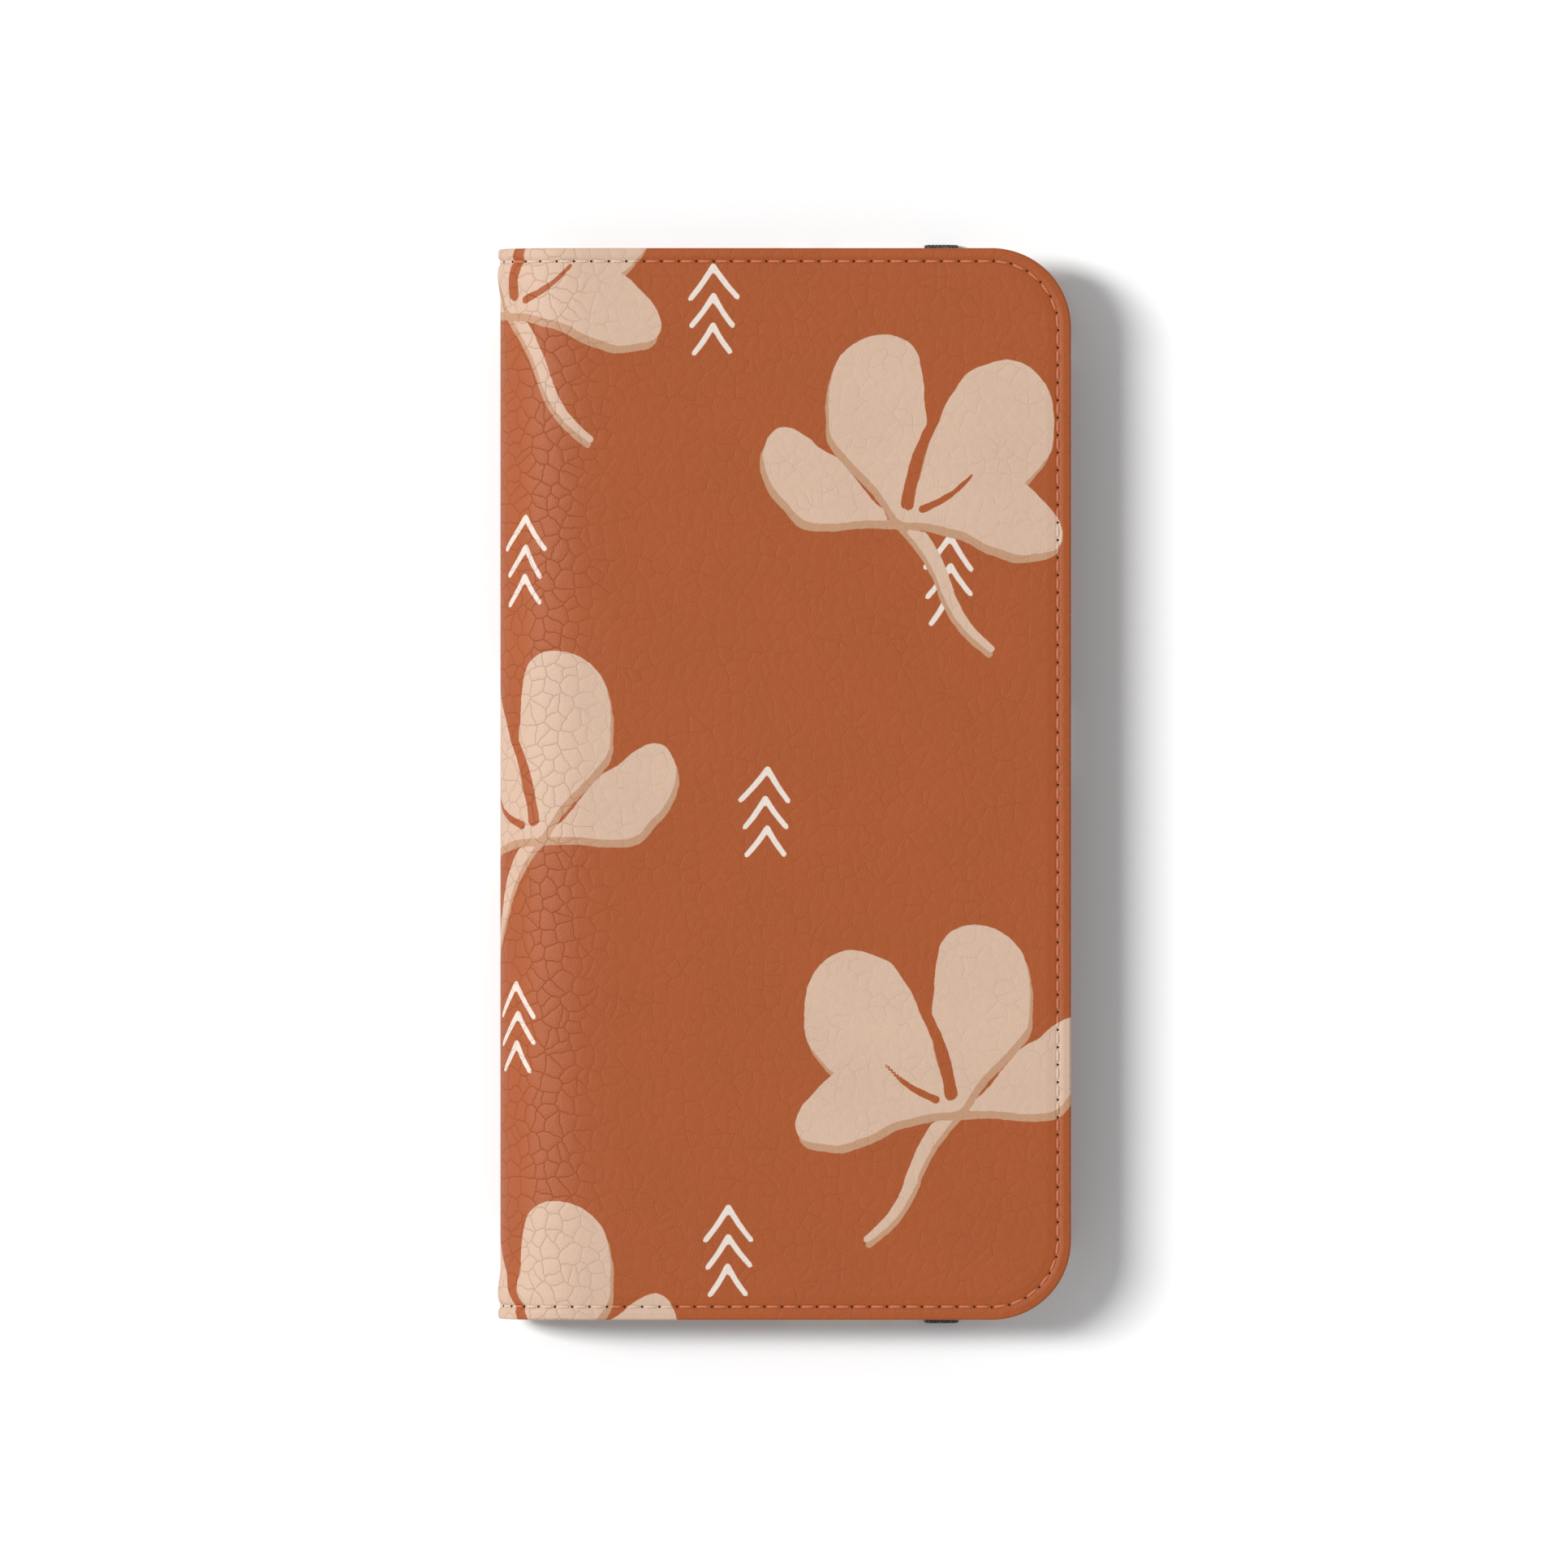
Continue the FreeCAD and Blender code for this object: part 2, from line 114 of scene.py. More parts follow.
def bump_at(value: np.ndarray, centre: float, width: float) -> np.ndarray:
    """Bell curve of height 1 round centre."""
    return np.exp(-(((value - centre) / width) ** 2))


def corner_turn(a: np.ndarray, b: np.ndarray) -> np.ndarray:
    """Angle on a round ring of the point that lies at (a, b) on a square one.

    Args:
        a: distance from the ring's centre in the first direction, 0 or more.
        b: distance in the second direction.

    Returns:
        Angles in radians, from 0 along a to a quarter turn along b.
    """
    eighth = math.pi / 4
    low = eighth * b / np.maximum(a, TINY)
    high = 2 * eighth - eighth * a / np.maximum(b, TINY)
    return np.where(a >= b, low, high)


def even_steps(start: float, end: float, step: float) -> list[float]:
    """Evenly spaced places from start to end, both included, no further apart than step."""
    count = max(1, math.ceil(abs(end - start) / step))
    return list(np.linspace(start, end, count + 1))


def spread_steps(breaks: Sequence[float], step: float) -> list[float]:
    """Evenly spaced places between each pair of neighbouring breaks, every break included once.

    Args:
        breaks: the places that are kept.
        step: the widest spacing.

    Returns:
        All the places, in order.
    """
    places = [breaks[0]]
    for start, end in zip(breaks[:-1], breaks[1:], strict=True):
        places += even_steps(start, end, step)[1:]
    return places


@dataclass
class MeshDraft:
    """Vertices, faces and per-vertex values of one piece before it becomes a mesh."""

    points: list[np.ndarray] = field(default_factory=list)
    faces: list[Sequence[int]] = field(default_factory=list)
    materials: list[int] = field(default_factory=list)
    flat: list[bool] = field(default_factory=list)
    values: dict[str, list[np.ndarray]] = field(default_factory=dict)
    count: int = 0

    def add(self, points: np.ndarray, values: dict[str, np.ndarray] | None = None) -> int:
        """Adds vertices with their values.

        Args:
            points: the new vertices, one row each, in millimetres.
            values: named values of the new vertices, scalar or vector.

        Returns:
            The index of the first new vertex.
        """
        start = self.count
        self.points.append(np.asarray(points, float))
        for name, column in (values or {}).items():
            self.values.setdefault(name, []).append(np.asarray(column, float))
        self.count += len(points)
        return start

    def face(self, corners: Sequence[int], material: int = 0, flat: bool = False) -> None:
        """Adds one face.

        Args:
            corners: its vertices, in order.
            material: its material number.
            flat: True for a face without smoothing.
        """
        self.faces.append(corners)
        self.materials.append(material)
        self.flat.append(flat)

    def build(self, name: str, materials: Sequence[bpy.types.Material],
              normals: np.ndarray | None = None) -> bpy.types.Object:
        """Makes the object.

        Args:
            name: the piece's name.
            materials: its materials, in the order of the faces' material numbers.
            normals: a normal for each vertex that is used on smooth faces, or None.

        Returns:
            The new object, linked to the scene.
        """
        mesh = bpy.data.meshes.new(name)
        points = np.concatenate(self.points)
        mesh.from_pydata((points * METRE).tolist(), [], self.faces)
        mesh.polygons.foreach_set("material_index", np.array(self.materials, np.int32))
        mesh.polygons.foreach_set("use_smooth", ~np.array(self.flat, bool))
        for label, columns in self.values.items():
            column = np.concatenate(columns)
            kind, key = ("FLOAT", "value") if column.ndim == 1 else ("FLOAT_VECTOR", "vector")
            layer = mesh.attributes.new(label, kind, "POINT")
            layer.data.foreach_set(key, column.astype(np.float32).ravel())
        for material in materials:
            mesh.materials.append(material)
        mesh.update()
        if normals is not None:
            self._set_normals(mesh, normals)
        piece = bpy.data.objects.new(name, mesh)
        bpy.context.scene.collection.objects.link(piece)
        return piece

    def _set_normals(self, mesh: bpy.types.Mesh, normals: np.ndarray) -> None:
        """Keeps the given normals on smooth faces, so that joins between pieces don't show.

        Args:
            mesh: the new mesh.
            normals: a normal for each vertex.
        """
        corners = np.zeros(len(mesh.loops), np.int32)
        mesh.loops.foreach_get("vertex_index", corners)
        sizes = np.zeros(len(mesh.polygons), np.int32)
        mesh.polygons.foreach_get("loop_total", sizes)
        chosen = normals[corners]
        chosen[np.repeat(np.array(self.flat, bool), sizes)] = 0.0
        mesh.normals_split_custom_set(chosen.tolist())


def ring_tube(draft: MeshDraft, rings: np.ndarray, material: int = 0,
              values: dict[str, np.ndarray] | None = None) -> None:
    """Adds a closed tube through rings of points, with a cap at each end.

    Args:
        draft: the piece being built.
        rings: array of ring, point round the ring, and x, y, z.
        material: the faces' material number.
        values: named values of every vertex, in the order of the flattened rings.
    """
    count, around = rings.shape[:2]
    start = draft.add(rings.reshape(-1, 3), values)
    for i in range(count - 1):
        for k in range(around):
            low, high = start + i * around, start + (i + 1) * around
            after = (k + 1) % around
            draft.face((low + k, low + after, high + after, high + k), material)
    draft.face([start + k for k in reversed(range(around))], material)
    draft.face([start + (count - 1) * around + k for k in range(around)], material)


# ---- sizes read from the frame ----


@dataclass(frozen=True)
class CaseSizes:
    """Driving sizes of the case in millimetres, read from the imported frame."""

    free_edge: float
    half_length: float
    height: float
    bend_start: float
    corner_radius: float = 11.7
    cover_thickness: float = 1.9
    spine_thickness: float = 1.1
    lining: float = 0.4
    skin: float = 0.7
    stitch_inset: float = 1.95
    stitch_pitch: float = 2.58
    lining_inset: float = 0.5
    shoulder: float = 8.25

    @classmethod
    def from_frame(cls) -> "CaseSizes":
        """Reads the edges and levels from the front cover, and the bend from its fold line.

        Returns:
            The sizes.
        """
        _, high = node_span("front_skin")
        fold_x = float(joint_place("front_fold")[0])
        return cls(
            free_edge=float(high[0]),
            half_length=float(high[1]),
            height=float(high[2]),
            bend_start=fold_x + cls.shoulder,
        )


@dataclass
class CoverSection:
    """Outer line of the wrapped cover, seen from its top end: flat front, spine, flat back."""

    sizes: CaseSizes
    samples: int = 900
    shoulder_reach: float = 8.5
    spine_reach: float = 5.0
    draw_in: float = 0.38
    soft_from: float = 5.5
    soft_core: float = 0.55
    end_span: tuple[float, float] = (7.5, 4.0)
    seam_pinch: float = 0.8
    pinch_width: float = 0.5
    thin_from: float = 5.4
    thick_from: float = 0.9

    def __post_init__(self) -> None:
        """Samples a quarter of the spine, from its middle to where the front cover is flat."""
        rise = self.sizes.height / 2
        spine = -self.sizes.free_edge
        flat = self.sizes.bend_start
        knots = np.array([
            (spine, 0.0), (spine, self.spine_reach),
            (flat - self.shoulder_reach, rise), (flat, rise),
        ])
        t = np.linspace(0.0, 1.0, self.samples)[:, None]
        line = ((1 - t) ** 3 * knots[0] + 3 * (1 - t) ** 2 * t * knots[1]
                + 3 * (1 - t) * t ** 2 * knots[2] + t ** 3 * knots[3])
        steps = np.hypot(*np.diff(line, axis=0).T)
        self.line = line
        self.lengths = np.concatenate([[0.0], np.cumsum(steps)])
        self.quarter = float(self.lengths[-1])
        slope = np.gradient(line, self.lengths, axis=0)
        self.slope = slope / np.linalg.norm(slope, axis=1)[:, None]
        self.slope[0] = (0.0, 1.0)
        self.slope[-1] = (1.0, 0.0)

    @property
    def edge(self) -> float:
        """Length along the sheet from the spine's middle to the front cover's free edge."""
        return self.quarter + self.sizes.free_edge - self.sizes.bend_start

    def unrolled_x(self, u: np.ndarray) -> np.ndarray:
        """Where u lies on the sheet when it is rolled out flat in the front cover's plane."""
        return u - self.quarter + self.sizes.bend_start

    def length_at_level(self, z: float) -> float:
        """The u at which the front half of the spine passes level z."""
        return float(np.interp(z - self.sizes.height / 2, self.line[:, 1], self.lengths))

    def length_at_x(self, x: float) -> float:
        """The u over the front at which the outer line passes x.

        Args:
            x: a place across the case.

        Returns:
            The u.
        """
        if x >= self.sizes.bend_start:
            return self.quarter + x - self.sizes.bend_start
        return float(np.interp(x, self.line[:, 0], self.lengths))

    def at(self, u: np.ndarray) -> tuple[np.ndarray, np.ndarray]:
        """Point and inward direction of the outer line.

        Args:
            u: lengths along the sheet.

        Returns:
            Arrays of (x, z) places and (x, z) inward directions.
        """
        length = np.abs(u)
        side = np.where(u < 0, -1.0, 1.0)
        inside = np.minimum(length, self.quarter)
        x = np.interp(inside, self.lengths, self.line[:, 0])
        x = x + np.maximum(length - self.quarter, 0.0)
        z = np.interp(inside, self.lengths, self.line[:, 1])
        slope_x = np.interp(inside, self.lengths, self.slope[:, 0])
        slope_z = np.interp(inside, self.lengths, self.slope[:, 1])
        size = np.hypot(slope_x, slope_z)
        place = np.stack([x, self.sizes.height / 2 + side * z], axis=-1)
        inward = np.stack([slope_z / size, -side * slope_x / size], axis=-1)
        return place, inward

    def inside(self, u: np.ndarray, v: np.ndarray, depth: np.ndarray) -> np.ndarray:
        """Points below the outer line by the given depth.

        Args:
            u: lengths along the sheet.
            v: places along the spine.
            depth: distances inward.

        Returns:
            The points.
        """
        place, inward = self.at(u)
        x = place[..., 0] + inward[..., 0] * depth + self.slack(u, v)
        return np.stack([x, v, place[..., 1] + inward[..., 1] * depth], axis=-1)

    def slack(self, u: np.ndarray, v: np.ndarray) -> np.ndarray:
        """How far the soft spine draws in along x; it stays out at its ends, beside the seam.

        Args:
            u: lengths along the sheet.
            v: places along the spine.

        Returns:
            One distance for each place.
        """
        sizes = self.sizes
        reach = self.length_at_x(sizes.bend_start - self.soft_from)
        share = smooth_rise(np.abs(u), reach, reach * self.soft_core)
        inset = sizes.half_length - np.abs(v)
        pinch = self.seam_pinch * bump_at(inset, sizes.stitch_inset, self.pinch_width)
        end = smooth_rise(inset, *self.end_span) * (1.0 - pinch)
        return self.draw_in * share * (1.0 - end)

    def thickness(self, u: np.ndarray) -> np.ndarray:
        """Full thickness of the cover at u, with its lining.

        Args:
            u: lengths along the sheet.

        Returns:
            One thickness for each.
        """
        sizes = self.sizes
        thin = self.length_at_x(sizes.bend_start - self.thin_from)
        thick = self.length_at_x(sizes.bend_start - self.thick_from)
        share = smooth_rise(np.abs(u), thin, thick)
        return sizes.spine_thickness + share * (sizes.cover_thickness - sizes.spine_thickness)


# ---- print ----


def signed_distance(shape: Callable[[np.ndarray], np.ndarray], places: np.ndarray) -> np.ndarray:
    """Distance in millimetres to the outline shape = 0, positive inside.

    Args:
        shape: a smooth function that is positive inside the outline.
        places: (x, y) places on the rolled-out sheet.

    Returns:
        First-order distances, kept within FAR.
    """
    step = 0.05
    value = shape(places)
    slope_x = (shape(places + (step, 0.0)) - value) / step
    slope_y = (shape(places + (0.0, step)) - value) / step
    steepness = np.maximum(np.hypot(slope_x, slope_y), 1e-3)
    return np.clip(value / steepness, -FAR, FAR)


def places_near(places: np.ndarray, x: float, y: float, reach: float) -> np.ndarray:
    """Indices of the places that lie within reach of (x, y)."""
    return np.flatnonzero(np.hypot(places[:, 0] - x, places[:, 1] - y) < reach)


@dataclass(frozen=True)
class Petal:
    """One egg-shaped petal of a printed blossom."""

    angle: float
    length: float
    width: float
    lean: float = 0.0
    widest: float = 0.60
    full_from: float = 0.62
    foot: float = 0.22
    fullness: float = 2.2
    waves: tuple[tuple[float, float, float], ...] = ((0.4, 0.45, 1.0), (0.1, 1.1, 2.0))

    def field(self, places: np.ndarray) -> np.ndarray:
        """Positive inside the petal, which grows from the origin.

        Args:
            places: (x, y) places round the blossom's base.

        Returns:
            One value for each place.
        """
        turn = math.radians(self.angle)
        along = places @ np.array([math.cos(turn), math.sin(turn)])
        across = places @ np.array([-math.sin(turn), math.cos(turn)])
        share = along / self.length
        across = across - self.lean * np.sin(np.clip(share, 0.0, 1.2) * math.pi)
        wave = sum(height * np.sin(along * rate + turns * self.angle)
                   for height, rate, turns in self.waves)
        span = np.where(share > self.widest, 1.0 - self.widest, self.widest)
        taper = self.foot + (1.0 - self.foot) * smooth_rise(share, 0.0, self.full_from)
        half = (self.width / 2 + wave) * taper
        return (1.0 - np.abs((share - self.widest) / span) ** self.fullness
                - np.abs(across / half) ** self.fullness)


@dataclass(frozen=True)
class Stroke:
    """One brushed stroke of the print: a curved line that thins towards its end."""

    start: tuple[float, float]
    end: tuple[float, float]
    width: float
    thinning: float = 0.0
    sag: float = 0.0

    def distance(self, places: np.ndarray) -> np.ndarray:
        """Distance to the stroke's outline, positive inside.

        Args:
            places: (x, y) places.

        Returns:
            One distance for each place.
        """
        start, end = np.array(self.start), np.array(self.end)
        run = end - start
        length = float(np.hypot(*run))
        along_way = run / length
        square = np.array([-along_way[1], along_way[0]])
        offset = places - start
        along = offset @ along_way
        inside = np.clip(along, 0.0, length)
        across = offset @ square - self.sag * np.sin(inside / length * math.pi)
        away = np.hypot(across, along - inside)
        return self.width / 2 * (1.0 - self.thinning * inside / length) - away


@dataclass(frozen=True)
class Blossom:
    """A generic four-petal blossom on a stem, with a darker print behind it, slightly shifted."""

    x: float
    y: float
    mirrored: bool = False
    reach: float = 34.0
    misprint: tuple[float, float] = (0.45, 1.15)
    stem_misprint: float = 0.7
    petals: tuple[Petal, ...] = (
        Petal(148.0, 23.0, 10.4, 2.4),
        Petal(48.0, 29.5, 17.0, -1.8),
        Petal(-6.0, 24.0, 10.0, 2.6),
        Petal(97.0, 27.5, 15.0, 1.6),
    )
    slits: tuple[Stroke, ...] = (
        Stroke((1.0, 2.4), (6.4, 17.5), 2.0, 0.6, 1.0),
        Stroke((3.2, 1.6), (10.5, 6.6), 1.2, 0.6, -0.6),
    )
    stem: tuple[Stroke, ...] = (
        Stroke((0.2, 0.6), (7.0, -10.5), 2.3, 0.25, 0.8),
        Stroke((6.7, -10.0), (13.4, -19.0), 1.8, 0.45, -0.9),
    )

    def local(self, places: np.ndarray) -> np.ndarray:
        """Places seen from the blossom's base, turned round where it is mirrored."""
        offset = places - np.array([self.x, self.y])
        return offset * np.array([-1.0, 1.0]) if self.mirrored else offset

    def paint(self, places: np.ndarray, cream: np.ndarray, tan: np.ndarray) -> None:
        """Adds the blossom to the two tones of the print, in place.

        Args:
            places: (x, y) places on the rolled-out sheet.
            cream: distances of the light tone, positive inside.
            tan: distances of the darker tone, positive inside.
        """
        near = places_near(places, self.x, self.y, self.reach)
        if not len(near):
            return
        spots = self.local(places[near])
        shift = np.array(self.misprint)
        light, dark = cream[near], tan[near]
        slits = np.max([slit.distance(spots) for slit in self.slits], axis=0)
        for part in (*self.stem, *self.petals):
            if isinstance(part, Petal):
                face = np.minimum(signed_distance(part.field, spots), -slits)
                shade = np.minimum(signed_distance(part.field, spots + shift), -slits)
            else:
                face = part.distance(spots)
                shade = part.distance(spots + shift * self.stem_misprint)
            light = np.maximum(np.minimum(light, -shade), face)
            dark = np.maximum(dark, shade)
        cream[near] = light
        tan[near] = dark


@dataclass(frozen=True)
class ChevronStack:
    """Three small hand-drawn chevrons, one above the other."""

    x: float
    y: float
    wobble: int = 0
    line: float = 0.85
    pitch: float = 4.35
    count: int = 3
    half_width: float = 3.5
    narrowing: float = 0.42
    height: float = 4.7
    lowering: float = 0.35
    top: float = 6.3
    peak: float = 0.15
    shake: float = 0.22
    thinning: float = 0.12
    sag: float = 0.12
    reach: float = 12.0

    def paint(self, places: np.ndarray, lines: np.ndarray) -> None:
        """Adds the chevrons to the print's fine lines, in place.

        Args:
            places: (x, y) places on the rolled-out sheet.
            lines: distances of the fine lines, positive inside.
        """
        near = places_near(places, self.x, self.y, self.reach)
        if not len(near):
            return
        draw = np.random.default_rng(SEED + self.wobble)
        spots = places[near] - np.array([self.x, self.y])
        values = lines[near]
        for k in range(self.count):
            wide, tall = self.half_width - self.narrowing * k, self.height - self.lowering * k
            top = self.top - self.pitch * k
            shake = draw.uniform(-self.shake, self.shake, 5)
            peak = (self.peak + shake[0], top)
            left = (-wide + shake[1], top - tall + shake[2])
            right = (wide + shake[3], top - tall + shake[4])
            for foot, sag in ((left, self.sag), (right, -self.sag)):
                stroke = Stroke(peak, foot, self.line, self.thinning, sag)
                values = np.maximum(values, stroke.distance(spots))
        lines[near] = values


def flattened(places: np.ndarray) -> np.ndarray:
    """Places in millimetres as the values of sheet_place, in metres and without a third part.

    Args:
        places: one row for each vertex.

    Returns:
        Rows of x, y and 0.
    """
    flat = np.zeros((len(places), 3))
    flat[:, :2] = places[:, :2] * METRE
    return flat


def unprinted(count: int) -> dict[str, np.ndarray]:
    """The print's vertex values where there is no print."""
    return {name: np.full(count, -FAR) for name in ("print_cream", "print_tan", "print_line")}


@dataclass
class SheetPrint:
    """The whole printed pattern, in millimetres on the rolled-out sheet."""

    blossoms: tuple[Blossom, ...] = (
        Blossom(17.2, 38.9),
        Blossom(25.6, -48.1, mirrored=True),
        Blossom(-42.0, 69.8),
        Blossom(-36.2, -7.7, mirrored=True),
        Blossom(-36.2, -88.8, mirrored=True),
        Blossom(-76.0, 30.0, mirrored=True),
        Blossom(-80.0, -47.0),
        Blossom(-118.0, -2.0),
        Blossom(-113.0, -84.0, mirrored=True),
        Blossom(-112.0, 66.0, mirrored=True),
    )
    chevrons: tuple[ChevronStack, ...] = (
        ChevronStack(-10.5, 70.0, 1),
        ChevronStack(-39.0, 33.0, 2),
        ChevronStack(-2.75, -4.1, 3),
        ChevronStack(-40.5, -35.8, 4),
        ChevronStack(-8.25, -68.7, 5),
        ChevronStack(24.2, 30.2, 6),
        ChevronStack(-60.0, 52.0, 8),
        ChevronStack(-58.0, -12.0, 9),
        ChevronStack(-60.0, -62.0, 10),
        ChevronStack(-97.0, -18.0, 11),
        ChevronStack(-96.0, 50.0, 12),
        ChevronStack(-127.0, -42.0, 13),
        ChevronStack(-94.0, -66.0, 14),
    )

    def values(self, places: np.ndarray) -> dict[str, np.ndarray]:
        """The print's distances at the given places.

        Args:
            places: (x, y) places on the rolled-out sheet.

        Returns:
            Vertex values print_cream, print_tan and print_line.
        """
        cream, tan, lines = (np.full(len(places), -FAR) for _ in range(3))
        for blossom in self.blossoms:
            blossom.paint(places, cream, tan)
        for stack in self.chevrons:
            stack.paint(places, lines)
        return {"print_cream": cream, "print_tan": tan, "print_line": lines}


# ---- the wrapped sheets ----


class Layer(Enum):
    """The two sheets that wrap from cover to cover."""

    SKIN = "skin"
    LINING = "lining"


@dataclass(frozen=True)
class RimShape:
    """Profile of a sheet from its flat face over the rim to the turned-in hem."""

    radius: float
    rounding: float
    fine_band: float
    hem: float
    groove: float = 0.0
    bead: float = 0.0
    fall: float = 0.0
    fine_step: float = 0.5
    fall_span: tuple[float, float] = (3.7, 2.3)
    groove_width: float = 0.26
    bead_inset: float = 1.05
    bead_width: float = 0.42
    ring_step: float = 0.16

    def sink(self, inset: np.ndarray) -> np.ndarray:
        """How far the face lies below its flat level at a distance in from the rim.

        Args:
            inset: distances in from the rim.

        Returns:
            One depth for each.
        """
        stitch = CaseSizes.stitch_inset
        return (self.fall * smooth_rise(inset, *self.fall_span)
                + self.groove * bump_at(inset, stitch, self.groove_width)
                - self.bead * bump_at(inset, self.bead_inset, self.bead_width))

    def stations(self, step: float, needed: Sequence[float]) -> tuple[np.ndarray, ...]:
        """Rings from the corner's centre out to the rim and round under it.

        Args:
            step: spacing of the rings on the flat part.
            needed: distances in from the rim that must have a ring on the flat part.

        Returns:
            Arrays of ring offset, inset from the rim, sink below the face, share of the wall and
            share of the hem.
        """
        breaks = [self.radius, *sorted(needed, reverse=True), self.fine_band]
        flat = np.array(spread_steps(breaks, step))
        fine = np.array(even_steps(self.fine_band, self.rounding, self.fine_step))[1:]
        inset = np.concatenate([flat, fine])
        sink = self.sink(inset)
        base = sink[-1]
        bend = np.radians(np.arange(15.0, 91.0, 15.0))
        bend_inset = self.rounding * (1 - np.sin(bend))
        bend_sink = base + self.rounding * (1 - np.cos(bend))
        wall = [0.5, 0.85, 1.0, 1.0, 1.0, 1.0]
        wall_inset = [0.0, 0.0, 0.1, 0.5, self.hem, self.hem]
        tuck = [0.0, 0.0, 0.0, 0.0, 0.0, 1.0]
        inset = np.concatenate([inset, bend_inset, wall_inset])
        offset = np.arange(len(inset), dtype=float)
        offset[: len(flat)] = self.radius - flat
        for k in range(len(flat), len(inset)):
            offset[k] = offset[k - 1] + self.ring_step
        sink = np.concatenate([sink, bend_sink, np.full(len(wall), base + self.rounding)])
        none = np.zeros(len(inset) - len(wall))
        return offset, inset, sink, np.concatenate([none, wall]), np.concatenate([none, tuck])


@dataclass(frozen=True)
class CameraWindow:
    """The pill-shaped window through the back cover."""

    x: float
    y: float
    half_width: float
    half_length: float
    blend_out: float = 2.2

    def widened(self, margin: float) -> "CameraWindow":
        """The same window, wider by a margin all round."""
        return replace(self, half_width=self.half_width + margin,
                       half_length=self.half_length + margin)

    @property
    def arc_offset(self) -> float:
        """Distance from the window's middle to the centres of its round ends."""
        return self.half_length - self.half_width

    def rounded(self, x: np.ndarray, y: np.ndarray) -> tuple[np.ndarray, np.ndarray, np.ndarray]:
        """Moves a square grid so that its lines follow the window's round ends.

        Args:
            x: the grid's x.
            y: the grid's y.

        Returns:
            The moved x and y, and how far each point keeps to them, from 0 to 1 at the window.
        """
        off_x, off_y = x - self.x, y - self.y
        side_x, side_y = np.where(off_x < 0, -1.0, 1.0), np.where(off_y < 0, -1.0, 1.0)
        a, b = np.abs(off_x), np.abs(off_y) - self.arc_offset
        ring = np.maximum(a, b)
        turn = corner_turn(a, b)
        at_end = b > 0
        new_x = np.where(at_end, self.x + side_x * ring * np.cos(turn), x)
        new_y = np.where(at_end, self.y + side_y * (self.arc_offset + ring * np.sin(turn)), y)
        away = np.maximum(a, np.abs(off_y) - self.arc_offset) - self.half_width
        return new_x, new_y, 1.0 - smooth_rise(away, 0.02, self.blend_out)


@dataclass(frozen=True)
class GridLines:
    """Grid lines in one direction: each one's base, number of ring (0 inside) and side."""

    base: np.ndarray
    ring: np.ndarray
    side: np.ndarray


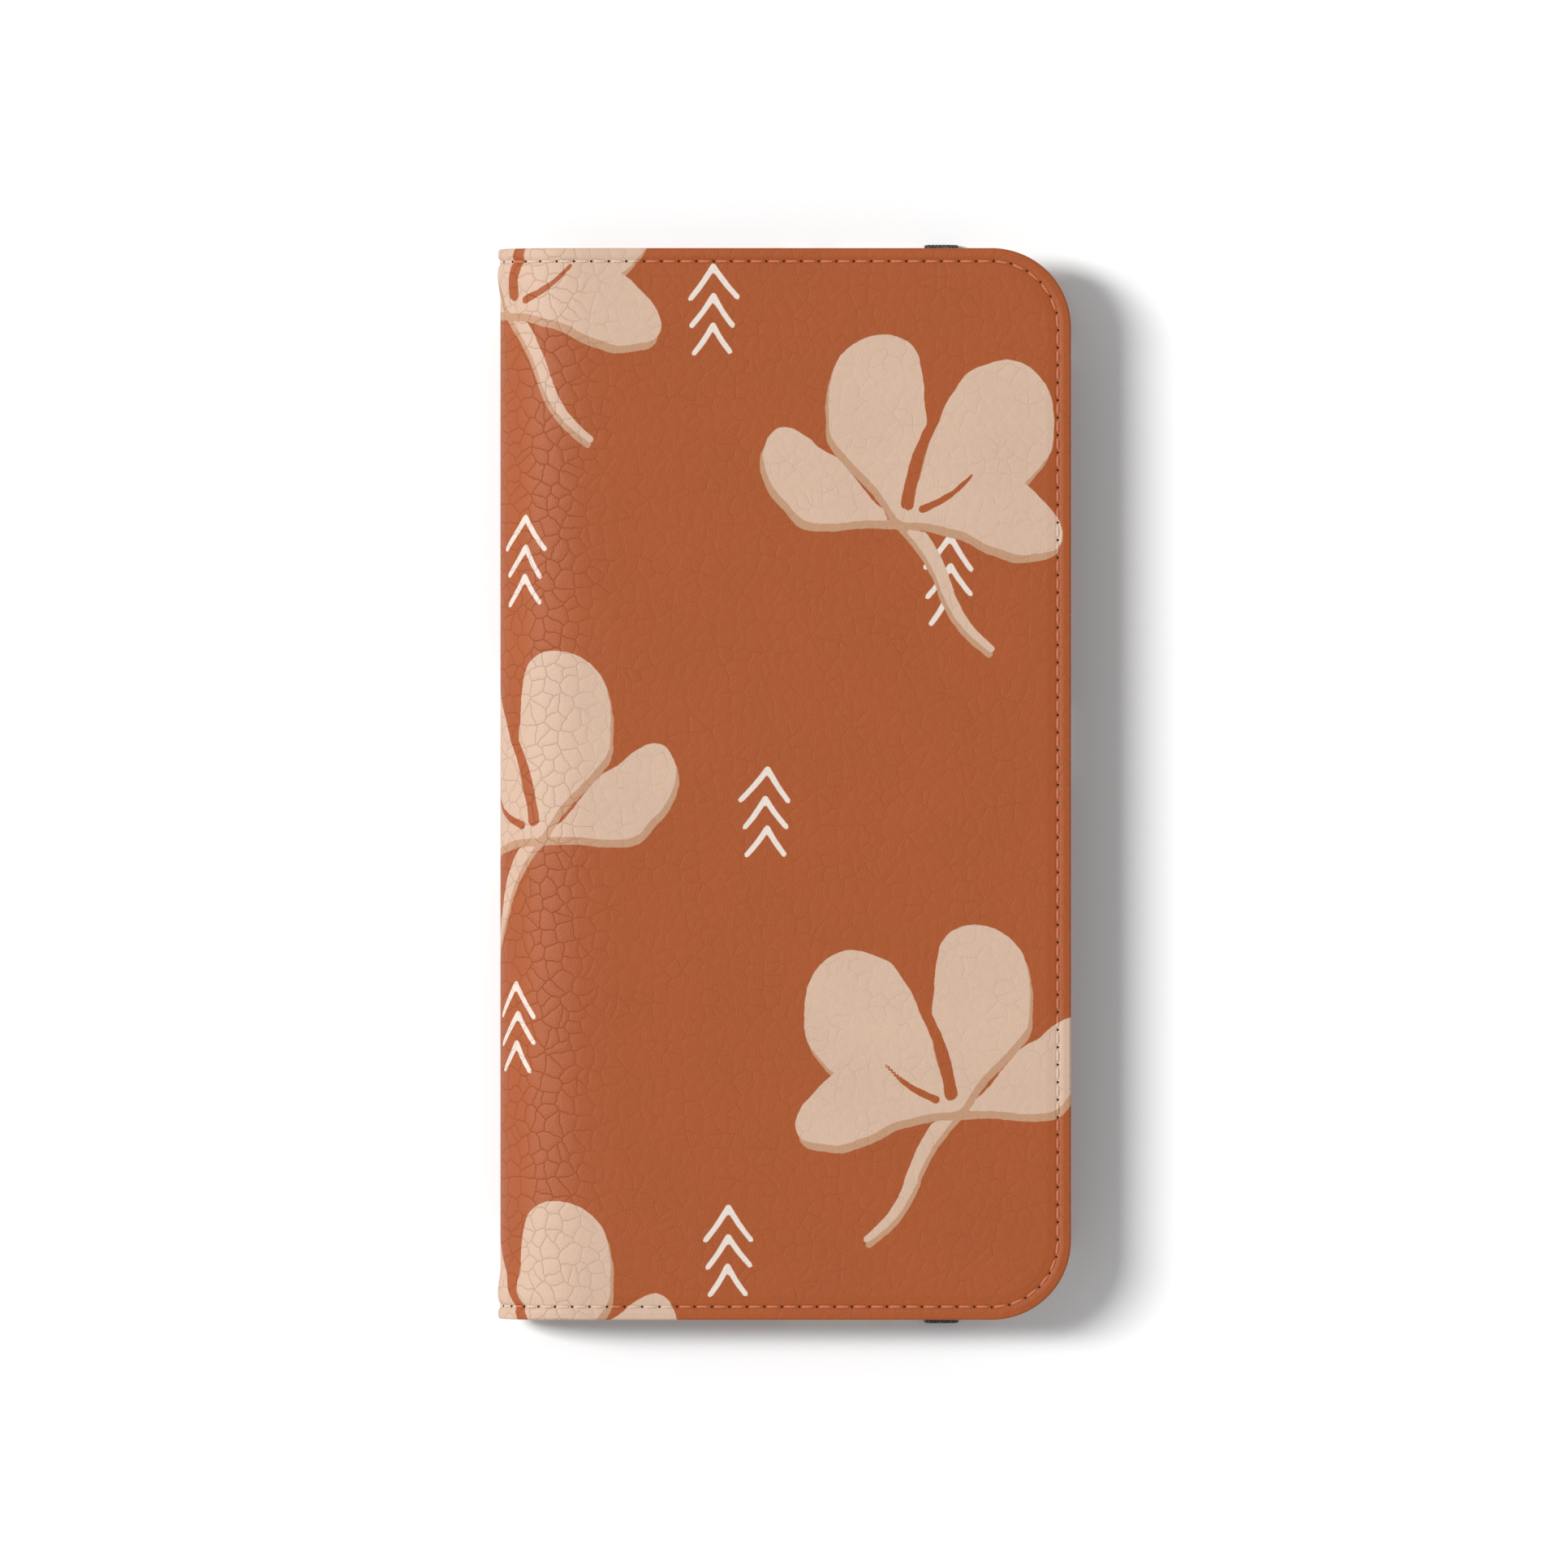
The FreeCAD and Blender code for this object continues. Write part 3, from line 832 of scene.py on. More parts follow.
@dataclass
class WrappedSheet:
    """One sheet that wraps from the back cover round the spine to the front cover, as a grid."""

    layer: Layer
    section: CoverSection
    rim: RimShape
    step: float
    rim_inset: float
    window: CameraWindow
    channel: tuple[float, float] | None = None
    channel_depth: float = 0.43
    channel_slope: tuple[float, float] = (0.25, 0.15)
    least_hem: float = 0.08
    split_rise: float = 3.2
    bend_span: tuple[float, float] = (7.0, -4.5)
    rim_worn: float = 0.7
    art: SheetPrint | None = None

    def __post_init__(self) -> None:
        """Works out the grid lines, the places on the grid, their normals and their values."""
        sizes = self.section.sizes
        self.edge_u = self.section.edge - self.rim_inset
        self.edge_v = sizes.half_length - self.rim_inset
        window = self.window
        needed = (
            sizes.free_edge - self.rim_inset - window.x - window.half_width,
            self.edge_v - window.y - window.half_length,
        )
        (self.offset, self.ring_inset, self.ring_sink,
         self.ring_wall, self.ring_tuck) = self.rim.stations(self.step, needed)
        self.split = self.section.length_at_level(sizes.height / 2 + self.split_rise)
        centre_u, centre_v = self.edge_u - self.rim.radius, self.edge_v - self.rim.radius
        window_left = -self.section.length_at_x(window.x - window.half_width)
        columns = spread_steps([-centre_u, window_left, -self.split, self.split, centre_u],
                               self.step)
        rows = spread_steps(
            [-centre_v, window.y - window.half_length, window.y - window.arc_offset,
             window.y + window.arc_offset, centre_v], self.step)
        self.lines_u, self.lines_v = self._lines(columns), self._lines(rows)
        self.split_low = self._nearest(self.lines_u, -self.split)
        self.split_high = self._nearest(self.lines_u, self.split)
        self._place()
        self._value()

    def _lines(self, inner: list[float]) -> GridLines:
        """Grid lines in one direction: the inner ones, with the rim's rings at both ends.

        Args:
            inner: places of the inner lines.

        Returns:
            All the lines.
        """
        outer = np.arange(1, len(self.offset))
        none = np.zeros(len(inner))
        base = np.concatenate([np.full(len(outer), inner[0]), inner,
                               np.full(len(outer), inner[-1])])
        ring = np.concatenate([outer[::-1], none.astype(int), outer])
        side = np.concatenate([-np.ones(len(outer)), none, np.ones(len(outer))])
        return GridLines(base, ring, side)

    def _nearest(self, lines: GridLines, value: float) -> int:
        """Index of the grid line on the sheet's face that is nearest to a value.

        Args:
            lines: the grid lines.
            value: the place.

        Returns:
            The index.
        """
        place = lines.base + lines.side * (self.rim.radius - self.ring_inset[lines.ring])
        hidden = np.where(self.ring_wall[lines.ring] > 0, np.inf, 0.0)
        return int(np.argmin(np.abs(place - value) + hidden))

    def _place(self) -> None:
        """Works out every grid point, its (u, v), its depth and its normal."""
        sizes, across, along = self.section.sizes, self.lines_u, self.lines_v
        ring = np.maximum(across.ring[:, None], along.ring[None, :])
        a, b = self.offset[across.ring][:, None], self.offset[along.ring][None, :]
        reach = self.rim.radius - self.ring_inset
        turn = corner_turn(a, b)
        u = across.base[:, None] + across.side[:, None] * reach[ring] * np.cos(turn)
        v = along.base[None, :] + along.side[None, :] * reach[ring] * np.sin(turn)
        flat_edge = self.section.quarter - sizes.bend_start
        square_u, square_v = (lines.base + lines.side * reach[lines.ring]
                              for lines in (across, along))
        square_x = -square_u[:, None] - flat_edge + np.zeros_like(u)
        square_y = square_v[None, :] + np.zeros_like(v)
        round_x, round_y, keep = self.window.rounded(square_x, square_y)
        keep = keep * (u < 0)
        u = u + keep * (-(round_x + flat_edge) - u)
        v = v + keep * (round_y - v)
        full = self.section.thickness(u)
        sink, wall = self.ring_sink[ring], self.ring_wall[ring]
        if self.layer is Layer.SKIN:
            body = full - sizes.lining
            depth = sink + wall * (body - sink) + self._channel_sink(u, wall)
            hem = np.minimum(sizes.skin + GAP, body - self.least_hem)
            depth = depth + self.ring_tuck[ring] * (hem - body)
        else:
            depth = full - sink - wall * (sizes.lining - GAP - sink)
        self.u, self.v, self.ring = u, v, ring
        self.points = self.section.inside(u, v, depth)
        normal = np.cross(*(np.gradient(self.points, axis=way) for way in (0, 1)))
        size = np.maximum(np.linalg.norm(normal, axis=-1, keepdims=True), 1e-12)
        self.normals = normal / size * (1.0 if self.layer is Layer.SKIN else -1.0)

    def _channel_sink(self, u: np.ndarray, wall: np.ndarray) -> np.ndarray:
        """Depth of the elastic's channel pressed into the back.

        Args:
            u: lengths along the sheet.
            wall: share of the rim's wall at each place.

        Returns:
            One depth for each place.
        """
        if self.channel is None:
            return np.zeros_like(u)
        x = self.section.sizes.bend_start - u - self.section.quarter
        low, high = self.channel
        out, into = self.channel_slope
        inside = (smooth_rise(x, low - out, low + into)
                  * smooth_rise(x, high + out, high - into))
        return self.channel_depth * inside * (1.0 - wall) * (u < 0)

    def _value(self) -> None:
        """Works out the vertex values that the materials read."""
        places = np.stack([self.section.unrolled_x(self.u), self.v, np.zeros_like(self.u)], axis=-1)
        start = self.section.sizes.bend_start
        flat, worn = (self.section.length_at_x(start + off) for off in self.bend_span)
        inset = np.where(self.ring > 0, self.ring_inset[self.ring], self.rim.radius)
        self.values = {
            "sheet_place": places * METRE,
            "bend_wear_and_sheen": smooth_rise(np.abs(self.u), flat, worn),
            "rim_wear": bump_at(inset, self.rim_worn, self.rim_worn),
        }
        if self.art is not None:
            printed = self.art.values(places[..., :2].reshape(-1, 2))
            self.values |= {name: column.reshape(self.u.shape) for name, column in printed.items()}

    def piece(self, name: str, first: int, last: int,
              material: bpy.types.Material) -> bpy.types.Object:
        """Builds the part of the sheet between two grid columns as a closed piece.

        Args:
            name: the piece's name.
            first: its first column.
            last: its last column.
            material: the sheet's material.

        Returns:
            The new object.
        """
        draft = MeshDraft()
        rows, columns = len(self.lines_v.base), last - first + 1
        cut = slice(first, last + 1)
        draft.add(self.points[cut].reshape(-1, 3),
                  {key: column[cut].reshape((-1,) + column.shape[2:])
                   for key, column in self.values.items()})
        normals = [self.normals[cut].reshape(-1, 3)]
        hole = None if first else self._hole()
        forward = self.layer is Layer.SKIN

        def add(corners: Sequence[int], flat: bool = False) -> None:
            """Adds a face with the winding that this layer needs."""
            draft.face(tuple(corners) if forward else tuple(reversed(corners)), 0, flat)

        for i in range(columns - 1):
            for j in range(rows - 1):
                if hole and hole[0] <= i < hole[1] and hole[2] <= j < hole[3]:
                    continue
                k = i * rows + j
                add((k, k + rows, k + rows + 1, k + 1))
        feet = self._window_wall(draft, hole, add, normals) if hole else {}
        self._underside(draft, columns, hole, feet, add)
        if not hole:
            add(range(rows), True)
        add([(columns - 1) * rows + j for j in reversed(range(rows))], True)
        return draft.build(name, [material], np.concatenate(normals))

    def _hole(self) -> tuple[int, int, int, int]:
        """Grid block of the window: its left and right column, its bottom and top row.

        Returns:
            Left, right, bottom and top.
        """
        window = self.window
        sides = (-self.section.length_at_x(window.x + side * window.half_width) for side in (1, -1))
        left, right = (self._nearest(self.lines_u, u) for u in sides)
        bottom, top = (self._nearest(self.lines_v, window.y + side * window.half_length)
                       for side in (-1, 1))
        return left, right, bottom, top

    def _window_wall(self, draft: MeshDraft, hole: tuple[int, int, int, int],
                     add: Callable[..., None], normals: list[np.ndarray]) -> dict[int, int]:
        """Turns the sheet's edge down through the window.

        Args:
            draft: the piece being built.
            hole: the window's grid block.
            add: adds a face.
            normals: the list that takes the new vertices' normals.

        Returns:
            For each grid vertex on the window's outline, the vertex at the foot of the wall.
        """
        left, right, bottom, top = hole
        loop = ([(i, bottom) for i in range(left, right)] + [(right, j) for j in range(bottom, top)]
                + [(i, top) for i in range(right, left, -1)]
                + [(left, j) for j in range(top, bottom, -1)])
        ids = [i * len(self.lines_v.base) + j for i, j in loop]
        start = np.array([self.points[place] for place in loop])
        values = {key: np.array([column[place] for place in loop])
                  for key, column in self.values.items()}
        off = start[:, :2] - (self.window.x, self.window.y)
        reach = self.window.arc_offset
        arm = off - np.stack([np.zeros(len(off)), np.clip(off[:, 1], -reach, reach)], axis=-1)
        arm = arm / np.linalg.norm(arm, axis=1)[:, None]
        down = 1.0 if self.layer is Layer.SKIN else -1.0
        previous = ids
        for inset, sink, angle in self._window_profile():
            ring = start.copy()
            ring[:, :2] -= arm * inset
            ring[:, 2] += down * sink
            begin = draft.add(ring, values)
            tilt = math.radians(angle)
            level = np.full((len(loop), 1), -down * math.cos(tilt))
            normals.append(np.concatenate([-arm * math.sin(tilt), level], axis=1))
            for k in range(len(loop)):
                n = (k + 1) % len(loop)
                add((previous[k], previous[n], begin + n, begin + k))
            previous = list(range(begin, begin + len(loop)))
        return dict(zip(ids, previous, strict=True))

    def _window_profile(self) -> list[tuple[float, float, float]]:
        """Turned edge of the window: distance into the window, depth and angle of the surface.

        Returns:
            The profile's stations, from the face to the hem.
        """
        sizes = self.section.sizes
        if self.layer is Layer.LINING:
            depth, rounding = sizes.lining - GAP, 0.15
            tail = [(rounding, depth, 90.0)]
        else:
            depth, rounding, hem, ease = sizes.cover_thickness - sizes.lining, 0.35, -0.6, 0.1
            tail = [(rounding, depth - ease, 90.0), (rounding - ease, depth, 135.0),
                    (hem, depth, 180.0), (hem, sizes.skin + GAP, 180.0)]
        turns = [math.radians(angle) for angle in range(18, 91, 18)]
        bend = [(rounding * math.sin(t), rounding * (1 - math.cos(t)), math.degrees(t))
                for t in turns]
        return bend + tail

    def _underside(self, draft: MeshDraft, columns: int, hole: tuple[int, int, int, int] | None,
                   feet: dict[int, int], add: Callable[..., None]) -> None:
        """Closes the sheet with strips between its two hems, and with triangles round the window.

        Args:
            draft: the piece being built.
            columns: number of the piece's grid columns.
            hole: the window's grid block, or None.
            feet: foot of the window's wall below each vertex of its outline, in order.
            add: adds a face.
        """
        rows = len(self.lines_v.base)
        first = 0
        if hole:
            first = hole[1] + 3
            outer = ([i * rows for i in range(first + 1)]
                     + [(i + 1) * rows - 1 for i in range(first, -1, -1)]
                     + list(range(rows - 2, 0, -1)))
            ids = outer + list(feet.values())
            flat = np.concatenate(draft.points)[:, :2]
            loops = [[Vector((*flat[k], 0.0)) for k in ring] for ring in (outer, feet.values())]
            for triangle in tessellate_polygon(loops):
                a, b, c = (ids[k] for k in triangle)
                (ax, ay), (bx, by) = flat[b] - flat[a], flat[c] - flat[a]
                add((a, b, c) if ax * by > ay * bx else (a, c, b), True)
        for i in range(first, columns - 1):
            low, next_low = i * rows, (i + 1) * rows
            add((next_low, low, low + rows - 1, next_low + rows - 1), True)


# ---- seams ----


@dataclass(frozen=True)
class StitchForm:
    """Form of one stitch: a round thread that thins and dips at both ends."""

    length: float
    radius: float
    rise: float
    dip: float
    around: int = 8
    flattening: float = 0.8
    bluntness: float = 5.0
    thinnest: float = 0.05
    stations: tuple[float, ...] = (-1.0, -0.93, -0.75, -0.4, 0.0, 0.4, 0.75, 0.93, 1.0)

    def rings(self) -> tuple[np.ndarray, np.ndarray, np.ndarray]:
        """The thread's rings round the stitch's middle.

        Returns:
            Distances along the stitch, across it and up, one row for each ring.
        """
        share = np.array(self.stations)
        ends = np.clip(1.0 - np.abs(share) ** self.bluntness, self.thinnest, 1.0)
        size = (self.radius * np.sqrt(ends))[:, None]
        turn = self.turns()
        across = size * np.cos(turn)
        along = (share * self.length / 2)[:, None] + 0.0 * across
        up = self.rise - self.dip * share[:, None] ** 4 + size * np.sin(turn) * self.flattening
        return along, across, up

    def turns(self) -> np.ndarray:
        """Angles of the points round a ring."""
        return np.arange(self.around) / self.around * 2 * math.pi

    def values(self, places: np.ndarray) -> dict[str, np.ndarray]:
        """Vertex values of the thread's finish.

        Args:
            places: the rings' points, one row each.

        Returns:
            Values sheet_place, thread_run and thread_turn.
        """
        return {"sheet_place": flattened(places),
                "thread_run": np.repeat(np.array(self.stations) * self.length / 2, self.around),
                "thread_turn": np.tile(self.turns(), len(self.stations))}


@dataclass
class SheetSeam:
    """The seam round the whole wrapped cover, with its stitches outside and inside."""

    section: CoverSection
    art: SheetPrint
    stitch: StitchForm = StitchForm(length=2.1, radius=0.23, rise=0.13, dip=0.28)
    inside_lift: float = 0.05
    sunk: float = 0.30
    hole_radius: float = 0.19
    hole_shares: tuple[float, ...] = (0.25, 1.0, 1.0, 0.25)
    hole_levels: tuple[float, ...] = (0.15, 0.165, 0.30, 0.34)
    hole_inside_lift: float = 0.1

    def places(self) -> np.ndarray:
        """Middle and heading of every stitch on the sheet.

        Returns:
            Rows of u, v, and the heading's two parts.
        """
        sizes = self.section.sizes
        reach_u = self.section.edge - sizes.stitch_inset
        reach_v = sizes.half_length - sizes.stitch_inset
        radius = sizes.corner_radius - sizes.stitch_inset
        straight_u, straight_v = 2 * (reach_u - radius), 2 * (reach_v - radius)
        arc = radius * math.pi / 2
        total = 2 * (straight_u + straight_v) + 4 * arc
        count = round(total / sizes.stitch_pitch)
        rows = []
        for k in range(count):
            way = total * (k + 0.5) / count
            heading, corner = 0.0, np.array([reach_u - radius, reach_v - radius])
            spot = np.array([-corner[0], reach_v])
            for length in (straight_u, straight_v, straight_u, straight_v):
                step = np.array([math.cos(heading), math.sin(heading)])
                if way <= length:
                    rows.append((*(spot + step * way), *step))
                    break
                way -= length
                spot = spot + step * length
                centre = spot + radius * np.array([step[1], -step[0]])
                if way <= arc:
                    turned = heading - way / radius
                    out = np.array([-math.sin(turned), math.cos(turned)])
                    rows.append((*(centre + radius * out), math.cos(turned), math.sin(turned)))
                    break
                way -= arc
                heading -= math.pi / 2
                out = np.array([-math.sin(heading), math.cos(heading)])
                spot = centre + radius * out
        return np.array(rows)

    def add_stitch(self, draft: MeshDraft, place: np.ndarray, inside: bool) -> None:
        """Adds one stitch and, after it, a dark disc of painted shade for the needle hole.

        Args:
            draft: the seam's piece.
            place: the stitch's u, v and heading.
            inside: True for the lining's side.
        """
        along, across, rise = self.stitch.rings()
        place_u, place_v = self._spread(place, along, across)
        full = self.section.thickness(place_u)
        depth = full - self.sunk + self.inside_lift + rise if inside else self.sunk - rise
        flat = np.stack([self.section.unrolled_x(place_u), place_v], axis=-1).reshape(-1, 2)
        tones = unprinted(len(flat)) if inside else self.art.values(flat)
        rings = self.section.inside(place_u, place_v, depth)
        ring_tube(draft, rings[::-1] if inside else rings, 0, {**self.stitch.values(flat), **tones})
        self._add_hole_shade(draft, place, inside)

    @staticmethod
    def _spread(place: np.ndarray, along: np.ndarray,
                across: np.ndarray) -> tuple[np.ndarray, np.ndarray]:
        """The u and v of points along and across a stitch's heading."""
        u, v, run_u, run_v = place
        return u + run_u * along - run_v * across, v + run_v * along + run_u * across

    def _add_hole_shade(self, draft: MeshDraft, place: np.ndarray, inside: bool) -> None:
        """Adds a small dark disc between this stitch and the next: painted shade of the needle
        hole.

        Args:
            draft: the seam's piece.
            place: the stitch's u, v and heading.
            inside: True for the lining's side.
        """
        turn = self.stitch.turns()
        sizes = np.array(self.hole_shares)[:, None] * self.hole_radius
        ahead = self.section.sizes.stitch_pitch / 2
        place_u, place_v = self._spread(place, ahead + sizes * np.cos(turn), sizes * np.sin(turn))
        level = np.array(self.hole_levels)[:, None] + 0.0 * place_u
        full = self.section.thickness(place_u)
        rings = self.section.inside(place_u, place_v,
                              full - level + self.hole_inside_lift if inside else level)
        nothing = np.zeros(level.size)
        values = {"sheet_place": np.zeros((level.size, 3)), "thread_run": nothing,
                  "thread_turn": nothing, **unprinted(level.size)}
        ring_tube(draft, rings if inside else rings[::-1], 1, values)

    def piece(self, name: str, low: float, high: float,
              materials: Sequence[bpy.types.Material]) -> bpy.types.Object:
        """Builds the stitches whose middles lie between two values of u.

        Args:
            name: the piece's name.
            low: the lowest u.
            high: the highest u.
            materials: the thread's material and the dark material of the needle holes' painted
                shade.

        Returns:
            The new object.
        """
        draft = MeshDraft()
        for place in self.places():
            if low <= place[0] < high:
                for inside in (False, True):
                    self.add_stitch(draft, place, inside)
        return draft.build(name, materials)


def straight_seam(draft: MeshDraft, start: np.ndarray, end: np.ndarray, out: np.ndarray,
                  pitch: float, stitch: StitchForm) -> None:
    """Adds a row of stitches on a flat panel.

    Args:
        draft: the seam's piece.
        start: where the row starts, on the panel's face.
        end: where it ends.
        out: the direction away from the panel's face.
        pitch: distance between stitches.
        stitch: form of each stitch.
    """
    run = end - start
    total = float(np.linalg.norm(run))
    run = run / total
    square = np.cross(out, run)
    count = max(1, round(total / pitch))
    along, across, up = (part[..., None] for part in stitch.rings())
    for k in range(count):
        middle = start + run * total * (k + 0.5) / count
        rings = middle + run * along + square * across + out * up
        points = rings.reshape(-1, 3)
        ring_tube(draft, rings, 0, {**stitch.values(points), **unprinted(len(points))})


# ---- flat panels ----


@dataclass(frozen=True)
class PanelOutline:
    """Rounded rectangle with its own radius at the spine's side and at the free edge."""

    low: tuple[float, float]
    high: tuple[float, float]
    spine_radius: float
    edge_radius: float
    arc_steps: int = 10
    side_steps: int = 24

    def at(self, inset: float) -> np.ndarray:
        """Points round the outline, moved in by a distance, anticlockwise from above.

        Args:
            inset: distance in from the outline.

        Returns:
            Rows of x and y; each inset gives the same number of points.
        """
        rows = []
        corners = ((1, 1, 0.0, self.edge_radius), (-1, 1, 90.0, self.spine_radius),
                   (-1, -1, 180.0, self.spine_radius), (1, -1, 270.0, self.edge_radius))
        for side_x, side_y, first, radius in corners:
            edge_x = self.high[0] if side_x > 0 else self.low[0]
            edge_y = self.high[1] if side_y > 0 else self.low[1]
            centre = np.array([edge_x - side_x * radius, edge_y - side_y * radius])
            shrunk = max(radius - inset, 0.05)
            shift = np.array([side_x, side_y]) * min(radius - inset - shrunk, 0.0)
            for angle in np.radians(np.linspace(first, first + 90.0, self.arc_steps + 1)):
                rows.append(centre + shift + shrunk * np.array([math.cos(angle), math.sin(angle)]))
        loop = np.array(rows)
        filled = []
        for k, point in enumerate(loop):
            filled.append(point)
            if (k + 1) % (self.arc_steps + 1) == 0:
                after = loop[(k + 1) % len(loop)]
                filled += [point + (after - point) * s / self.side_steps
                           for s in range(1, self.side_steps)]
        return np.array(filled)


def lofted_panel(name: str, outline: PanelOutline, profile: Sequence[tuple[float, float]],
                 material: bpy.types.Material) -> bpy.types.Object:
    """Closed panel whose section follows a profile from its upper face round the rim.

    Args:
        name: the piece's name.
        outline: the panel's outline.
        profile: pairs of inset and level, from the upper face to the lower one.
        material: the panel's material.

    Returns:
        The new object.
    """
    draft = MeshDraft()
    starts = []
    for inset, level in profile:
        loop = outline.at(inset)
        points = np.concatenate([loop, np.full((len(loop), 1), level)], axis=1)
        wear = np.full(len(loop), math.exp(-((inset / 0.8) ** 2)))
        starts.append(draft.add(points, {"sheet_place": points * (1.0, 1.0, 0.0) * METRE,
                                         "rim_wear": wear, "bend_wear_and_sheen": np.zeros(len(loop))}))
    around = len(loop)
    for above, below in zip(starts[:-1], starts[1:], strict=True):
        for k in range(around):
            n = (k + 1) % around
            draft.face((above + k, below + k, below + n, above + n))
    draft.face([starts[0] + k for k in range(around)], 0, True)
    draft.face([starts[-1] + k for k in reversed(range(around))], 0, True)
    return draft.build(name, [material])


def rim_profile(low: float, high: float, rounding: float, hem: float,
                press: float) -> list[tuple[float, float]]:
    """Profile of a thin panel with rounded rims and a hem line pressed into its lower face.

    Args:
        low: level of the lower face.
        high: level of the upper face.
        rounding: radius of the rims.
        hem: distance of the hem line in from the rim.
        press: depth of the hem line.

    Returns:
        Pairs of inset and level.
    """
    turns = np.radians(np.arange(0.0, 91.0, 22.5))
    upper = [(rounding * (1 - math.sin(t)), high - rounding * (1 - math.cos(t))) for t in turns]
    lower = [(inset, low + high - level) for inset, level in reversed(upper)]
    line = [(hem - 0.45, low), (hem - 0.15, low + press), (hem + 0.05, low + press),
            (hem + 0.5, low)]
    return upper + lower + line


# ---- elastic ----


@dataclass
class ClosureElastic:
    """The flat elastic: a run along the back, a leg round each end, and a tail inside each."""

    step: float = 0.22
    bend: float = 0.34
    ribs: float = 0.018
    rib_pitch: float = 0.62
    stand_off: float = 0.42

    def path(self) -> np.ndarray:
        """Middle line in (y, z) from the top tail's end to the bottom tail's end.

        Returns:
            Rows of y and z.
        """
        low, high = node_span("elastic_strap")
        half = 0.215
        leg, run, tail = high[1] - half + self.stand_off, low[2] + half, high[2] - half
        tack_low, _ = node_span("strap_tack_top")
        end = tack_low[1] - 8.5
        corner = self.bend
        rows = [(end, tail)]
        rows += [(leg - corner + corner * math.sin(t), tail - corner + corner * math.cos(t))
                 for t in np.radians(np.arange(0.0, 91.0, 11.25))]
        rows += [(leg - corner + corner * math.cos(t), run + corner - corner * math.sin(t))
                 for t in np.radians(np.arange(0.0, 91.0, 11.25))]
        upper = np.array(rows)
        lower = upper[::-1] * (-1.0, 1.0)
        return np.concatenate([upper, lower])

    def build(self, material: bpy.types.Material) -> bpy.types.Object:
        """Builds the elastic with rounded edges and fine cross ribs.

        Args:
            material: the elastic's material.

        Returns:
            The new object.
        """
        line = self.path()
        lengths = np.concatenate([[0.0], np.cumsum(np.hypot(*np.diff(line, axis=0).T))])
        way = np.array(even_steps(0.0, float(lengths[-1]), self.step))
        y, z = (np.interp(way, lengths, line[:, k]) for k in (0, 1))
        slope = np.stack([np.gradient(y, way), np.gradient(z, way)], axis=-1)
        slope = slope / np.linalg.norm(slope, axis=1)[:, None]
        low, high = node_span("elastic_strap")
        middle, half_width, half_thick = (low[0] + high[0]) / 2, (high[0] - low[0]) / 2, 0.2
        turn = np.radians(np.arange(0.0, 360.0, 15.0))
        across = half_width * np.sign(np.cos(turn)) * np.abs(np.cos(turn)) ** 0.35
        up = half_thick * np.sign(np.sin(turn)) * np.abs(np.sin(turn)) ** 0.6
        rib = 1.0 + self.ribs / half_thick * np.cos(way / self.rib_pitch * 2 * math.pi)
        lift = up[None, :] * rib[:, None]
        rings = np.stack([middle + across[None, :] + 0.0 * lift, y[:, None] + slope[:, 1:] * lift,
                          z[:, None] - slope[:, :1] * lift], axis=-1)
        draft = MeshDraft()
        places = np.stack(np.broadcast_arrays(across[None, :], way[:, None]), axis=-1)
        ring_tube(draft, rings, 0, {"sheet_place": flattened(places.reshape(-1, 2))})
        return draft.build("closure_elastic", [material])


# ---- finishes ----


Colour = tuple[float, float, float, float]


def colour(red: float, green: float, blue: float) -> Colour:
    """Linear colour from display values of 0 to 255."""
    shares = [value / 255 for value in (red, green, blue)]
    return (*[s / 12.92 if s <= 0.04045 else ((s + 0.055) / 1.055) ** 2.4 for s in shares], 1.0)


Socket = bpy.types.NodeSocket


